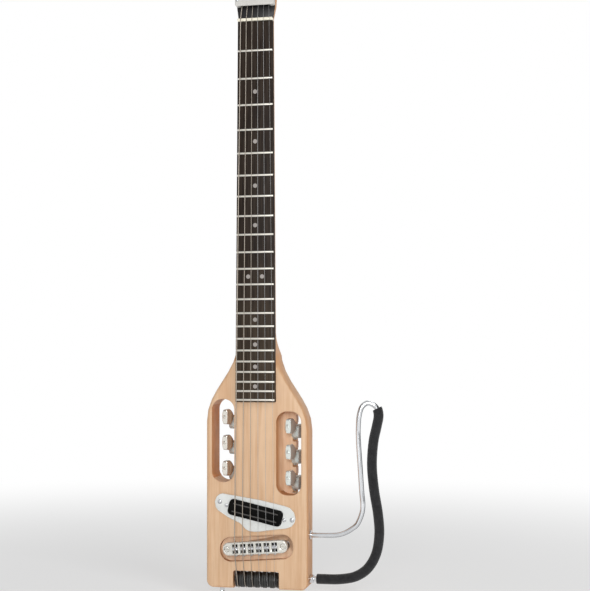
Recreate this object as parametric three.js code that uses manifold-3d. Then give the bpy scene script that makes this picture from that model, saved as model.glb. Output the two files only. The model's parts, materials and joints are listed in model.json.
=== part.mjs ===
// A travel guitar: a maple neck that runs through a slim body, with its tuners set in two slots in
// the body, rollers at the tail that turn the strings round to the back, and a padded lap rest.
// Lengths are in millimetres. While the guitar is being built, x runs to the treble side, y runs
// into the body from its front face, and z runs from the tail to the head, from zero at the saddles.
import * as THREE from 'three';
import { mergeVertices } from 'three/addons/utils/BufferGeometryUtils.js';
import Module from 'manifold-3d';

const wasm = await Module();
wasm.setup();

// Clearances
const seatGap = 0.1; // between two faces that rest on each other
const fitGap = 0.3; // round a piece in its hole or pocket
const overrun = 2; // how far a cut runs past the face it opens
const weldDistance = 0.0005; // corners nearer than this are one corner

// Strings
const scaleLength = 628.65;
const stringCount = 6;
const stringDiameters = [1.17, 0.91, 0.66, 0.43, 0.33, 0.25];
const nutSpread = 34.8;
const bridgeSpread = 48.2;
const rollerSpread = 46;
const anchorSpread = 33;
const stringHeightAtNut = 7.4;
const stringHeightAtBridge = 10.8;
const stringSides = 5;

// Body
const bodyThickness = 35;
const bodyHalfWidth = 62.3;
const tailLength = 50.5;
const tailCornerRadius = 8.5;
const bodyEdgeRadius = 3.5;
const shoulderTop = 250;
const shoulderTopPull = 43;
const shoulderFoot = 150;
const shoulderFootPull = 40;
const trebleDrop = 11; // the treble shoulder, slot and tuners sit this much lower
const backPadHeight = 195; // the origin, on the back of the body

// Neck
const nutHalfWidth = 21.3;
const boardEndHalfWidth = 24.4;
const boardPastLastFret = 2.6;
const boardThickness = 6;
const neckWood = 14; // behind the fingerboard
const heelFoot = 222;
const heelTop = 256;
const neckProud = 0.05; // the neck's front stands this much before the body's
const heelInset = 0.4; // the neck's back lies this much under the body's, until it leaves it
const shoulderTipDepth = 5;
const shoulderInset = 0.8;
const loftFoot = 205;
const nutThickness = 3.2;
const nutHeight = 8.4;
const headLength = 32; // from the nut's front edge to the end
const headHalfWidth = 23.2;
const headThickness = 15;
const neckRoundness = 2.4;
const heelSquareness = 9;
const loftSegments = 12;

// Frets and markers
const fretCount = 22;
const semitones = 12; // in an octave
const fretWidth = 2.4;
const fretHeight = 1;
const fretBed = 0.4; // how deep the joined fret reaches into the board
const fretEndInset = 0.5;
const crownShare = 0.75;

// Head
const overlayThickness = 1.7;
const capHeight = 14.2; // along z
const capHalfWidth = 23.7;
const capProud = 10.8; // in front of the body's face
const capWall = 2;
const capEndBlock = 5.4;
const capCorner = 1.6;
const capEdge = 1;
const anchorThickness = 5;
const anchorMargin = 0.9;
const anchorHoleRadius = 1.1;
const ballRadius = 1.9;
const ballWidth = 3;
const stringHeightAtCap = 4.6;
const headScrewRadius = 1;
const headScrewHeadRadius = 1.7;
const headScrewHeadHeight = 1.2;
const headScrewLength = 14;

// Truss rod
const trussRodWidth = 6;
const trussRodDepth = 9;
const trussRodBar = 3;
const trussRodFootInset = 16.2; // from the fingerboard's end
const trussRodReach = 14.35; // past the nut's front edge
const trussRodEndBlock = 12;

// Slots for the tuners
const slotLength = 100;
const slotRadius = 13;
const bassSlotInner = 27.2;
const bassSlotOuter = 55.2;
const bassSlotFoot = 77;
const trebleSlotInner = 24.3;
const trebleSlotOuter = 54.9;
const trebleSlotFoot = 62.6;
const bassLipDepth = 13;
const bassSeatLine = 30.5; // the inner wall of the bass slot, behind its lip
const trebleShelfDepth = 22.5;
const trebleSeatLine = 44.4;

// Channel for the strings in the back
const channelDepth = 20;
const channelHalfWidth = 28;
const channelBassWall = 22;
const channelTrebleWall = 22.3;
const channelNarrowing = 52;
const channelTop = 172;
const channelTaper = 10;
const sideChannelDepth = 10;
const sideChannelWall = 36;
const sideChannelFoot = 58;
const sideChannelTaper = 40;
const sideChannelTop = 158;

// Tuners
const tunerLean = 18; // degrees
const tunerPitch = 31;
const bassTunerMiddle = 118.3; // the middle post
const bassSeatX = 27.84;
const bassSeatY = 24.5;
const trebleTunerMiddle = 108;
const trebleSeatX = 40.97;
const trebleSeatY = 26.3;
const caseThickness = 10;
const caseLength = 15;
const caseHeight = 16;
const caseCorner = 3.5;
const caseEdge = 0.8;
const caseWall = 1.2;
const lugRadius = 3.2;
const lugThickness = 2.4;
const wormOffset = 6;
const gearRadius = 4;
const gearHub = 2.2;
const gearTeeth = 14;
const gearToothDepth = 0.7;
const gearThickness = 4;
const keyShaftRadius = 1.7;
const keyCollarRadius = 3;
const keyCollarLength = 2.2;
const buttonLength = 14;
const buttonHeight = 19;
const buttonThickness = 7.6;
const buttonEdge = 1.6;
const shoulderShare = 0.85;
const tipShare = 0.6;
const rootShare = 0.35;
const buttonTip = 24.4; // from the post's axis
const buttonScrewRadius = 1.9;
const buttonScrewHeight = 0.9;
const postRadius = 3;
const postWaist = 2.4;
const stringHoleRadius = 0.8;
const postTipLength = 0.5;
// Where each post's winding starts, from the case's seat, and its turns, from the tail up: the
// posts grow longer, so that a string passes the posts below its own
const bassWindingStarts = [7.85, 11.95, 14.7];
const bassWindingTurns = [1.25, 1.5, 2];
const trebleWindingStarts = [10.5, 12.3, 13.1];
const trebleWindingTurns = [2, 2, 2];
const bushingRadius = 3.6;
const bushingFlangeRadius = 4.3;
const bushingFlangeThickness = 0.6;
const bushingFlangeSides = 6;
const bushingStandOff = 0.2;
const lugScrewRadius = 1.1;
const lugScrewLength = 5;
const lugScrewDrop = 0.6;
const windingGap = 0.45; // between turns of one string
const windingSteps = 10; // in each turn
const stringEndLength = 3;
const wrapSteps = 8; // of a string round its roller

// Pickup
const pickupTilt = -12.6; // degrees
const pickupX = -0.7;
const pickupZ = 41.4;
const pickupLength = 67;
const pickupWidth = 19;
const pickupCorner = 5;
const pickupProud = 5.4;
const pickupCoverDepth = 13;
const pickupWall = 1.5;
const pickupEdge = 1;
const bladeLength = 56;
const bladeThickness = 1.4;
const bladeSpread = 9.4;
const bladeProud = 0.5;
const coilWidth = 6.4;
const coilHeight = 9;
const magnetInset = 2;
const basePlateThickness = 1.6;
const basePlateLength = 81;
const basePlateWidth = 15;
const heightScrewSpread = 73;
const heightScrewRadius = 1.2;
const surroundThickness = 2;
const surroundEdge = 0.5;
const surroundWidth = 99.4;
const surroundHeight = 45.8;
const surroundOutlineShares = [
  [-0.5, 0.29], [-0.478, 0.41], [-0.44, 0.48], [-0.405, 0.5],
  [0.07, 0.345], [0.36, 0.21], [0.43, 0.16], [0.482, 0.04], [0.5, -0.12],
  [0.487, -0.23], [0.448, -0.33], [0.385, -0.38],
  [0.19, -0.435], [0.06, -0.48], [0, -0.49], [-0.07, -0.475], [-0.115, -0.43],
  [-0.155, -0.33], [-0.19, -0.265], [-0.25, -0.21], [-0.33, -0.13], [-0.46, 0.05], [-0.49, 0.14],
];
const surroundMiddleX = -1.3;
const surroundMiddleZ = 40.7;
const surroundScrewSpread = 91;
const surroundScrewLift = 2.2;
const surroundScrewRadius = 1.5;
const surroundScrewLength = 12;
const pickupCavityDepth = 12.5;
const wireWayRadius = 2.8;

// Bridge
const bridgeTilt = 4.5; // degrees
const bridgePocketLength = 90;
const bridgePocketWidth = 29.3;
const bridgePocketDepth = 8;
const bridgePocketLift = -1.4;
const bridgeLength = 79;
const bridgeWidth = 15.5;
const bridgeTopHeight = 8.6;
const bridgeThickness = 7.8;
const bridgeEdge = 1;
const bridgePostSpread = 69;
const stadiumShare = 0.45; // of a width, for the corners of the bridge and its pocket
const saddleWindowWidth = 6.8;
const saddleWindowLength = 11;
const saddleWindowDepth = 5.6;
const saddleThickness = 4.4;
const saddleCrest = 1;
const saddleGap = 0.35;
const intonationScrewRadius = 1;
const intonationScrewHeight = 5.9;
const studRadius = 3.2;
const studSlotWidth = 1;
const studSlotDepth = 1;
const wheelRadius = 6;
const wheelThickness = 2;
const wheelNotches = 18;
const bushRadius = 4.8;
const bushLength = 11;
const bushFloor = 1;

// Rollers at the tail
const notchMiddle = -0.6;
const notchHalfWidth = 28.3;
const notchHeight = 21.4;
const notchCorner = 2.5;
const rollerRadius = 10;
const rollerWidth = 8.9;
const endRollerTrim = 1.6; // off the outer end of the two outermost rollers
const rollerGroove = 1;
const rollerGrooveHalfWidth = 2.3;
const rollerFloor = 1.5;
const rollerFace = 0.3; // how deep the rollers lie behind the body's face
const rollerSides = 16;
const axleRadius = 2.5;
const axleCollarRadius = 3.6;
const axleSeat = 8;
const axleFit = 0.15;

// Lap rest
const rodRadius = 3.175;
const rodSides = 8;
const rodSteps = 60;
const rodSeat = 22;
const lowerLeg = -38.5;
const restReach = 83;
const restRise = 211;
const restSetBack = 8;
// Reach, rise and set-back of points along the bent rod, as shares of the three sizes above.
const restRouteShares = [
  [0, 0.249, 0], [0.2, 0.249, 0], [0.4, 0.2535, 0], [0.52, 0.268, 0], [0.61, 0.289, 0.05],
  [0.68, 0.311, 0.1], [0.719, 0.339, 0.15], [0.755, 0.38, 0.2], [0.767, 0.424, 0.25],
  [0.751, 0.495, 0.3], [0.725, 0.642, 0.35], [0.701, 0.784, 0.4], [0.6975, 0.8555, 0.45],
  [0.712, 0.931, 0.5], [0.751, 0.979, 0.6], [0.821, 1, 0.8], [0.9, 0.993, 0.9],
  [0.962, 0.97, 1], [0.984, 0.93, 1], [0.955, 0.865, 1], [0.912, 0.787, 1], [0.888, 0.652, 1],
  [0.919, 0.509, 1], [0.977, 0.372, 0.95], [0.996, 0.258, 0.9], [0.955, 0.1445, 0.8],
  [0.816, 0.066, 0.6], [0.659, 0.0166, 0.35], [0.4385, 0.0024, 0.1], [0.2, 0, 0], [0, 0, 0],
];
const foamStartShare = 0.455; // along the rod
const foamEndShare = 0.985;
const foamRadius = 6;
const foamBore = 3.9;
const foamSides = 8;
const socketRadius = 4.6;
const socketFlangeRadius = 5.6;
const socketFlangeThickness = 1.2;
const socketLength = 20;
const collarRadius = 5;
const collarLength = 4.6;

// Strap buttons and jack
const strapButtonX = -47;
const strapButtonLength = 11;
const strapButtonBase = 4.2;
const strapButtonWaist = 3;
const strapSeatDepth = 0.4; // a button's base is let into the wood by this
const strapSeatMargin = 0.5;
const strapButtonFlange = 7;
const strapScrewRadius = 1.6;
const strapScrewHeadRadius = 3;
const strapScrewHeadDepth = 2;
const strapScrewLength = 22;
const heelButtonHeight = 213;
const jackHeight = 10;
const jackDepth = 21;
const jackPlateLength = 34;
const jackPlateWidth = 18;
const jackPlateThickness = 1.6;
const jackBarrelRadius = 7;
const jackBarrelLength = 22;
const jackSleeveRadius = 4.6;
const jackBore = 3.25;
const jackNutRadius = 6.4;
const jackNutThickness = 1.8;
const jackScrewRadius = 1.3;
const jackScrewLength = 8;

const degrees = Math.PI / 180;
const half = Math.PI / 2;

// Finishes
const finish = (color, roughness, metalness) => ({ color, roughness, metalness });
const maple = finish(0xd4b08f, 0.45, 0);
const darkWood = finish(0x463c34, 0.6, 0);
const blackPlastic = finish(0x161414, 0.45, 0);
const whitePlastic = finish(0xdcded9, 0.3, 0);
const ivoryPlastic = finish(0xe8e2cf, 0.4, 0);
const chrome = finish(0xc9ccd0, 0.15, 1);
const steel = finish(0x9a9c9e, 0.35, 1);
const bronze = finish(0xa89a88, 0.4, 1);
const foam = finish(0x1b1b1d, 0.95, 0);

// The whole guitar, with its origin on the flat of its back
const guitar = new THREE.Group();
guitar.position.set(0, -bodyThickness, -backPadHeight);

function addPiece(name, geometry, look, parent = guitar) {
  const piece = new THREE.Mesh(geometry, new THREE.MeshStandardMaterial(look));
  piece.name = name;
  parent.add(piece);
  return piece;
}

// Solids

function toSolid(geometry) {
  const bare = geometry.clone();
  for (const name of Object.keys(bare.attributes)) {
    if (name !== 'position') bare.deleteAttribute(name);
  }
  const merged = mergeVertices(bare, weldDistance);
  const corners = Array.from(merged.index.array);
  const kept = [];
  for (let i = 0; i < corners.length; i += 3) {
    const [a, b, c] = corners.slice(i, i + 3);
    if (a !== b && b !== c && c !== a) kept.push(a, b, c);
  }
  const triVerts = new Uint32Array(kept);
  const vertProperties = new Float32Array(merged.attributes.position.array);
  const solid = new wasm.Manifold(new wasm.Mesh({ numProp: 3, vertProperties, triVerts }));
  if (solid.volume() >= 0) return solid;
  for (let i = 0; i < triVerts.length; i += 3) {
    [triVerts[i], triVerts[i + 1]] = [triVerts[i + 1], triVerts[i]];
  }
  return new wasm.Manifold(new wasm.Mesh({ numProp: 3, vertProperties, triVerts }));
}

function toGeometry(solid) {
  const mesh = solid.getMesh();
  const geometry = new THREE.BufferGeometry();
  const places = new Float32Array((mesh.vertProperties.length / mesh.numProp) * 3);
  for (let i = 0; i < places.length / 3; i += 1) {
    for (let axis = 0; axis < 3; axis += 1) {
      places[i * 3 + axis] = mesh.vertProperties[i * mesh.numProp + axis];
    }
  }
  geometry.setAttribute('position', new THREE.BufferAttribute(places, 3));
  geometry.setIndex(new THREE.BufferAttribute(new Uint32Array(mesh.triVerts), 1));
  geometry.computeVertexNormals();
  return geometry;
}

function join(...geometries) {
  return toGeometry(geometries.map(toSolid).reduce((all, next) => all.add(next)));
}

function cut(geometry, ...tools) {
  return toGeometry(tools.map(toSolid).reduce((left, tool) => left.subtract(tool), toSolid(geometry)));
}

function overlapOf(geometry, other) {
  return toGeometry(toSolid(geometry).intersect(toSolid(other)));
}

function box(low, high) {
  const size = high.map((value, axis) => value - low[axis]);
  const geometry = new THREE.BoxGeometry(...size);
  geometry.translate(...size.map((value, axis) => low[axis] + value / 2));
  return geometry;
}

// A rod along one axis, from one place to another along it
function rod(axis, radius, from, to, middle, sides = 16) {
  const geometry = new THREE.CylinderGeometry(radius, radius, to - from, sides);
  if (axis === 'x') geometry.rotateZ(half);
  if (axis === 'z') geometry.rotateX(half);
  const place = { x: [(from + to) / 2, ...middle], y: [middle[0], (from + to) / 2, middle[1]],
    z: [...middle, (from + to) / 2] }[axis];
  geometry.translate(...place);
  return geometry;
}

// A turned piece: its profile is [radius, place along the axis]
function turned(axis, profile, middle, sides = 16) {
  const points = profile.map(([radius, along]) => new THREE.Vector2(radius, along));
  const geometry = new THREE.LatheGeometry(points, sides);
  if (axis === 'x') geometry.rotateZ(-half);
  if (axis === 'z') geometry.rotateX(half);
  const place = { x: [0, ...middle], y: [middle[0], 0, middle[1]], z: [...middle, 0] }[axis];
  geometry.translate(...place);
  return toGeometry(toSolid(geometry));
}

// A plate parallel to the front of the body, between two depths, with a rounded edge if given
function plate(shape, front, back, edge = 0, curveSegments = 8, edgeSegments = 3) {
  const geometry = new THREE.ExtrudeGeometry(shape, {
    depth: back - front - 2 * edge,
    bevelEnabled: edge > 0,
    bevelSize: edge,
    bevelThickness: edge,
    bevelOffset: -edge,
    bevelSegments: edgeSegments,
    curveSegments,
  });
  geometry.rotateX(half);
  geometry.translate(0, back - edge, 0);
  return geometry;
}

function shapeOf(points) {
  return new THREE.Shape(points.map(([x, z]) => new THREE.Vector2(x, z)));
}

// A rectangle with round corners, given its middle, size and corner radius
function roundedRectangle(x, z, width, height, radius) {
  const shape = new THREE.Shape();
  const right = x + width / 2 - radius;
  const left = x - width / 2 + radius;
  const top = z + height / 2 - radius;
  const foot = z - height / 2 + radius;
  shape.absarc(right, foot, radius, -half, 0, false);
  shape.absarc(right, top, radius, 0, half, false);
  shape.absarc(left, top, radius, half, Math.PI, false);
  shape.absarc(left, foot, radius, Math.PI, Math.PI + half, false);
  shape.closePath();
  return shape;
}

function turnInFront(geometry, tilt, x, z) {
  geometry.rotateY(-tilt * degrees);
  geometry.translate(x, 0, z);
  return geometry;
}

// A route through stations, which keeps them where they are along an extrusion
class StationRoute extends THREE.Curve {
  constructor(stations) {
    super();
    this.stations = stations;
  }

  getPoint(share, target = new THREE.Vector3()) {
    const last = this.stations.length - 1;
    const from = Math.min(Math.floor(share * last), last - 1);
    return target.lerpVectors(this.stations[from], this.stations[from + 1], share * last - from);
  }

  getPointAt(share, target) {
    return this.getPoint(share, target);
  }

  getTangentAt(share, target = new THREE.Vector3()) {
    const last = this.stations.length - 1;
    const at = Math.round(share * last);
    const here = this.stations[at];
    const ahead = new THREE.Vector3();
    const behind = new THREE.Vector3();
    if (at < last) ahead.subVectors(this.stations[at + 1], here).normalize();
    if (at > 0) behind.subVectors(here, this.stations[at - 1]).normalize();
    return target.addVectors(ahead, behind).normalize();
  }
}

function roundSection(radius, sides) {
  const points = Array.from({ length: sides }, (_, i) => {
    const angle = (2 * Math.PI * i) / sides;
    return new THREE.Vector2(radius * Math.cos(angle), radius * Math.sin(angle));
  });
  return points;
}

function tube(stations, radius, sides, boreRadius = 0) {
  const shape = new THREE.Shape(roundSection(radius, sides));
  if (boreRadius > 0) shape.holes.push(new THREE.Path(roundSection(boreRadius, sides)));
  return new THREE.ExtrudeGeometry(shape, {
    steps: stations.length - 1,
    extrudePath: new StationRoute(stations),
  });
}

// A closed skin through sections that have the same number of points
function loft(sections) {
  const count = sections[0].length;
  const places = sections.flat().flatMap((point) => [point.x, point.y, point.z]);
  const faces = [];
  for (let row = 0; row < sections.length - 1; row += 1) {
    for (let i = 0; i < count; i += 1) {
      const a = row * count + i;
      const b = row * count + ((i + 1) % count);
      faces.push(a, b, b + count, a, b + count, a + count);
    }
  }
  const last = (sections.length - 1) * count;
  for (let i = 1; i < count - 1; i += 1) {
    faces.push(0, i + 1, i, last, last + i, last + i + 1);
  }
  const geometry = new THREE.BufferGeometry();
  geometry.setAttribute('position', new THREE.BufferAttribute(new Float32Array(places), 3));
  geometry.setIndex(faces);
  return geometry;
}

// Places along the neck

const nutEdge = scaleLength;
const nutBack = nutEdge + nutThickness;
const headEnd = nutEdge + headLength;
const capFoot = headEnd - capHeight;

function fretPlace(number) {
  return scaleLength * 2 ** (-number / semitones);
}

const boardEnd = fretPlace(fretCount) - boardPastLastFret;
const trussRodFoot = boardEnd + trussRodFootInset;
const trussRodHead = nutEdge + trussRodReach;

function boardHalfWidth(z) {
  const share = (z - boardEnd) / (nutEdge - boardEnd);
  return boardEndHalfWidth + (nutHalfWidth - boardEndHalfWidth) * share;
}

function smooth(share) {
  const held = Math.min(Math.max(share, 0), 1);
  return held * held * (3 - 2 * held);
}

function heelDepth(z, from, to) {
  return from + (to - from) * smooth((z - heelFoot) / (heelTop - heelFoot));
}

function neckDepth(z) {
  return heelDepth(z, bodyThickness - heelInset, neckWood);
}

function stringX(number, spread) {
  return spread * ((number + 0.5 - stringCount / 2) / (stringCount - 1));
}

// The body's outline, from the tail round the bass side

function bodyShape() {
  const shape = new THREE.Shape();
  const neckSide = boardHalfWidth(shoulderTop) - shoulderInset;
  const corner = tailCornerRadius;
  const side = bodyHalfWidth;
  const trebleTop = shoulderTop - trebleDrop;
  const trebleFoot = shoulderFoot - trebleDrop;
  shape.absarc(side - corner, corner - tailLength, corner, -half, 0, false);
  shape.lineTo(side, trebleFoot);
  shape.bezierCurveTo(
    side, trebleFoot + shoulderFootPull, neckSide, trebleTop - shoulderTopPull, neckSide, trebleTop,
  );
  shape.lineTo(neckSide, shoulderTop);
  shape.lineTo(-neckSide, shoulderTop);
  shape.bezierCurveTo(
    -neckSide, shoulderTop - shoulderTopPull, -side, shoulderFoot + shoulderFootPull,
    -side, shoulderFoot,
  );
  shape.absarc(corner - side, corner - tailLength, corner, Math.PI, Math.PI + half, false);
  shape.closePath();
  return shape;
}

function neckSection(z, halfWidth, depth, squareness) {
  const points = [];
  for (let i = 0; i <= loftSegments; i += 1) {
    const angle = Math.PI * (i / loftSegments);
    const across = Math.cos(angle);
    const into = Math.sin(angle);
    const x = halfWidth * Math.sign(across) * Math.abs(across) ** (2 / squareness);
    const y = (depth + neckProud) * into ** (2 / squareness) - neckProud;
    points.push(new THREE.Vector3(x, y, z));
  }
  return points;
}

function neckLoft() {
  const heelStations = 8;
  const sections = [];
  for (let i = 0; i <= heelStations; i += 1) {
    const z = loftFoot + (heelTop - loftFoot) * (i / heelStations);
    const share = smooth((z - heelFoot) / (heelTop - heelFoot));
    const squareness = heelSquareness + (neckRoundness - heelSquareness) * share;
    sections.push(neckSection(z, boardHalfWidth(z), neckDepth(z), squareness));
  }
  sections.push(neckSection(nutEdge, boardHalfWidth(nutEdge), neckWood, neckRoundness));
  sections.push(neckSection(nutBack, nutHalfWidth, neckWood, neckRoundness));
  sections.push(neckSection(capFoot, headHalfWidth, headThickness, heelSquareness / 2));
  sections.push(neckSection(headEnd, headHalfWidth, headThickness, heelSquareness));
  return loft(sections);
}

// What the heel leaves out of the body's plate
function heelScoop() {
  const steps = 8;
  const points = [];
  for (let i = 0; i <= steps; i += 1) {
    const z = heelFoot + (shoulderTop + overrun - heelFoot) * (i / steps);
    points.push(new THREE.Vector2(heelDepth(z, bodyThickness, shoulderTipDepth), z));
  }
  points.push(new THREE.Vector2(bodyThickness + overrun, shoulderTop + overrun));
  points.push(new THREE.Vector2(bodyThickness + overrun, heelFoot));
  const scoop = new THREE.ExtrudeGeometry(new THREE.Shape(points), {
    depth: 2 * bodyHalfWidth, bevelEnabled: false,
  });
  scoop.rotateX(half);
  scoop.rotateZ(half);
  scoop.translate(-bodyHalfWidth, 0, 0);
  return scoop;
}

// Tuner rows: side is -1 for the bass row and +1 for the treble row

const lean = tunerLean * degrees;
const rows = [
  { side: -1, seatX: -bassSeatX, seatY: bassSeatY, middle: bassTunerMiddle,
    wall: channelBassWall, starts: bassWindingStarts, turns: bassWindingTurns },
  { side: 1, seatX: trebleSeatX, seatY: trebleSeatY, middle: trebleTunerMiddle,
    wall: sideChannelWall, starts: trebleWindingStarts, turns: trebleWindingTurns },
];
const tuners = rows.flatMap((row) => [0, 1, 2].map((place) => {
  const string = row.side < 0 ? place : stringCount - 1 - place;
  const radius = stringDiameters[string] / 2;
  const start = row.starts[place];
  const turns = row.turns[place];
  const pitch = 2 * radius + windingGap;
  const flange = (Math.abs(row.seatX) - row.wall) / Math.cos(lean) + bushingStandOff;
  return {
    ...row, string, start, turns, pitch, flange,
    z: row.middle + tunerPitch * (place - 1),
    waistFrom: start - radius - fitGap,
    waistTo: start + pitch * turns + radius + fitGap / 2,
  };
}));

// From a tuner's own space, with the post's axis along x and the key's along -y, to the guitar's
function tunerFrame(tuner) {
  const frame = new THREE.Matrix4().makeRotationZ(-lean);
  frame.setPosition(tuner.seatX, tuner.seatY, tuner.z);
  return frame;
}

function inTuner(tuner, geometry) {
  geometry.applyMatrix4(tunerFrame(tuner));
  return geometry;
}

const keyZ = wormOffset;
const caseTop = wormOffset + keyShaftRadius + caseWall + fitGap;
const caseFoot = caseTop - caseHeight;
const lugZ = caseFoot - lugRadius / 2;
const lugScrewZ = lugZ - lugScrewDrop;

// Body and neck

function slotShape(inner, outer, foot) {
  const middle = (inner + outer) / 2;
  const width = Math.abs(outer - inner);
  return roundedRectangle(middle, foot + slotLength / 2, width, slotLength, slotRadius);
}

function channelShape() {
  const foot = -tailLength - overrun;
  return shapeOf([
    [-channelHalfWidth, foot], [channelHalfWidth, foot],
    [channelHalfWidth, channelNarrowing], [channelTrebleWall, channelNarrowing + channelTaper],
    [channelTrebleWall, channelTop - channelTaper], [channelTrebleWall - channelTaper, channelTop],
    [channelTaper - channelBassWall, channelTop], [-channelBassWall, channelTop - channelTaper],
    [-channelBassWall, channelNarrowing + 2 * channelTaper],
    [-channelHalfWidth, channelNarrowing + channelTaper],
  ]);
}

function sideChannelShape() {
  const inner = channelTrebleWall - channelTaper;
  return shapeOf([
    [inner, sideChannelFoot - sideChannelTaper],
    [channelHalfWidth, sideChannelFoot - sideChannelTaper], [sideChannelWall, sideChannelFoot], [sideChannelWall, sideChannelTop],
    [inner, sideChannelTop],
  ]);
}

const axleY = rollerRadius + rollerFace;
const axleZ = -tailLength + rollerRadius;
const notchTop = notchHeight - tailLength;

function notchShape() {
  const low = -tailLength - tailLength;
  const middle = (notchTop + low) / 2;
  return roundedRectangle(notchMiddle, middle, 2 * notchHalfWidth, notchTop - low, notchCorner);
}

function stadium(length, width) {
  return roundedRectangle(0, 0, length, width, width * stadiumShare);
}

const bridgePostPlaces = [-1, 1].map((side) => {
  const reach = (side * bridgePostSpread) / 2;
  return [reach * Math.cos(bridgeTilt * degrees), reach * Math.sin(bridgeTilt * degrees)];
});

function acrossPickup(along, lift = 0) {
  const angle = pickupTilt * degrees;
  return [
    pickupX + along * Math.cos(angle) - lift * Math.sin(angle),
    pickupZ + along * Math.sin(angle) + lift * Math.cos(angle),
  ];
}

const surroundScrewPlaces = [
  acrossPickup(-surroundScrewSpread / 2, surroundScrewLift),
  acrossPickup(surroundScrewSpread / 2, surroundScrewLift),
];
const heightScrewPlaces = [acrossPickup(-heightScrewSpread / 2), acrossPickup(heightScrewSpread / 2)];

const restMiddle = bodyThickness / 2;
const legPlaces = [0, restRouteShares[0][1]].map((share) => lowerLeg + restRise * share);
const jackInner = jackPlateThickness + jackBarrelLength;
const capScrewX = capHalfWidth - capEndBlock / 2;

// The drilled way from the pickup's pocket to the jack
function wireWay() {
  return tube([new THREE.Vector3(...wireWayStart()), new THREE.Vector3(...wireWayEnd())],
    wireWayRadius, 10);
}

function wireWayStart() {
  const [x, z] = acrossPickup(-basePlateLength / 2 + pickupCorner);
  return [x, pickupCavityDepth - wireWayRadius, z];
}

function wireWayEnd() {
  return [jackPlateThickness + jackBarrelLength - bodyHalfWidth - jackSleeveRadius, jackDepth,
    jackHeight];
}

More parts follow.
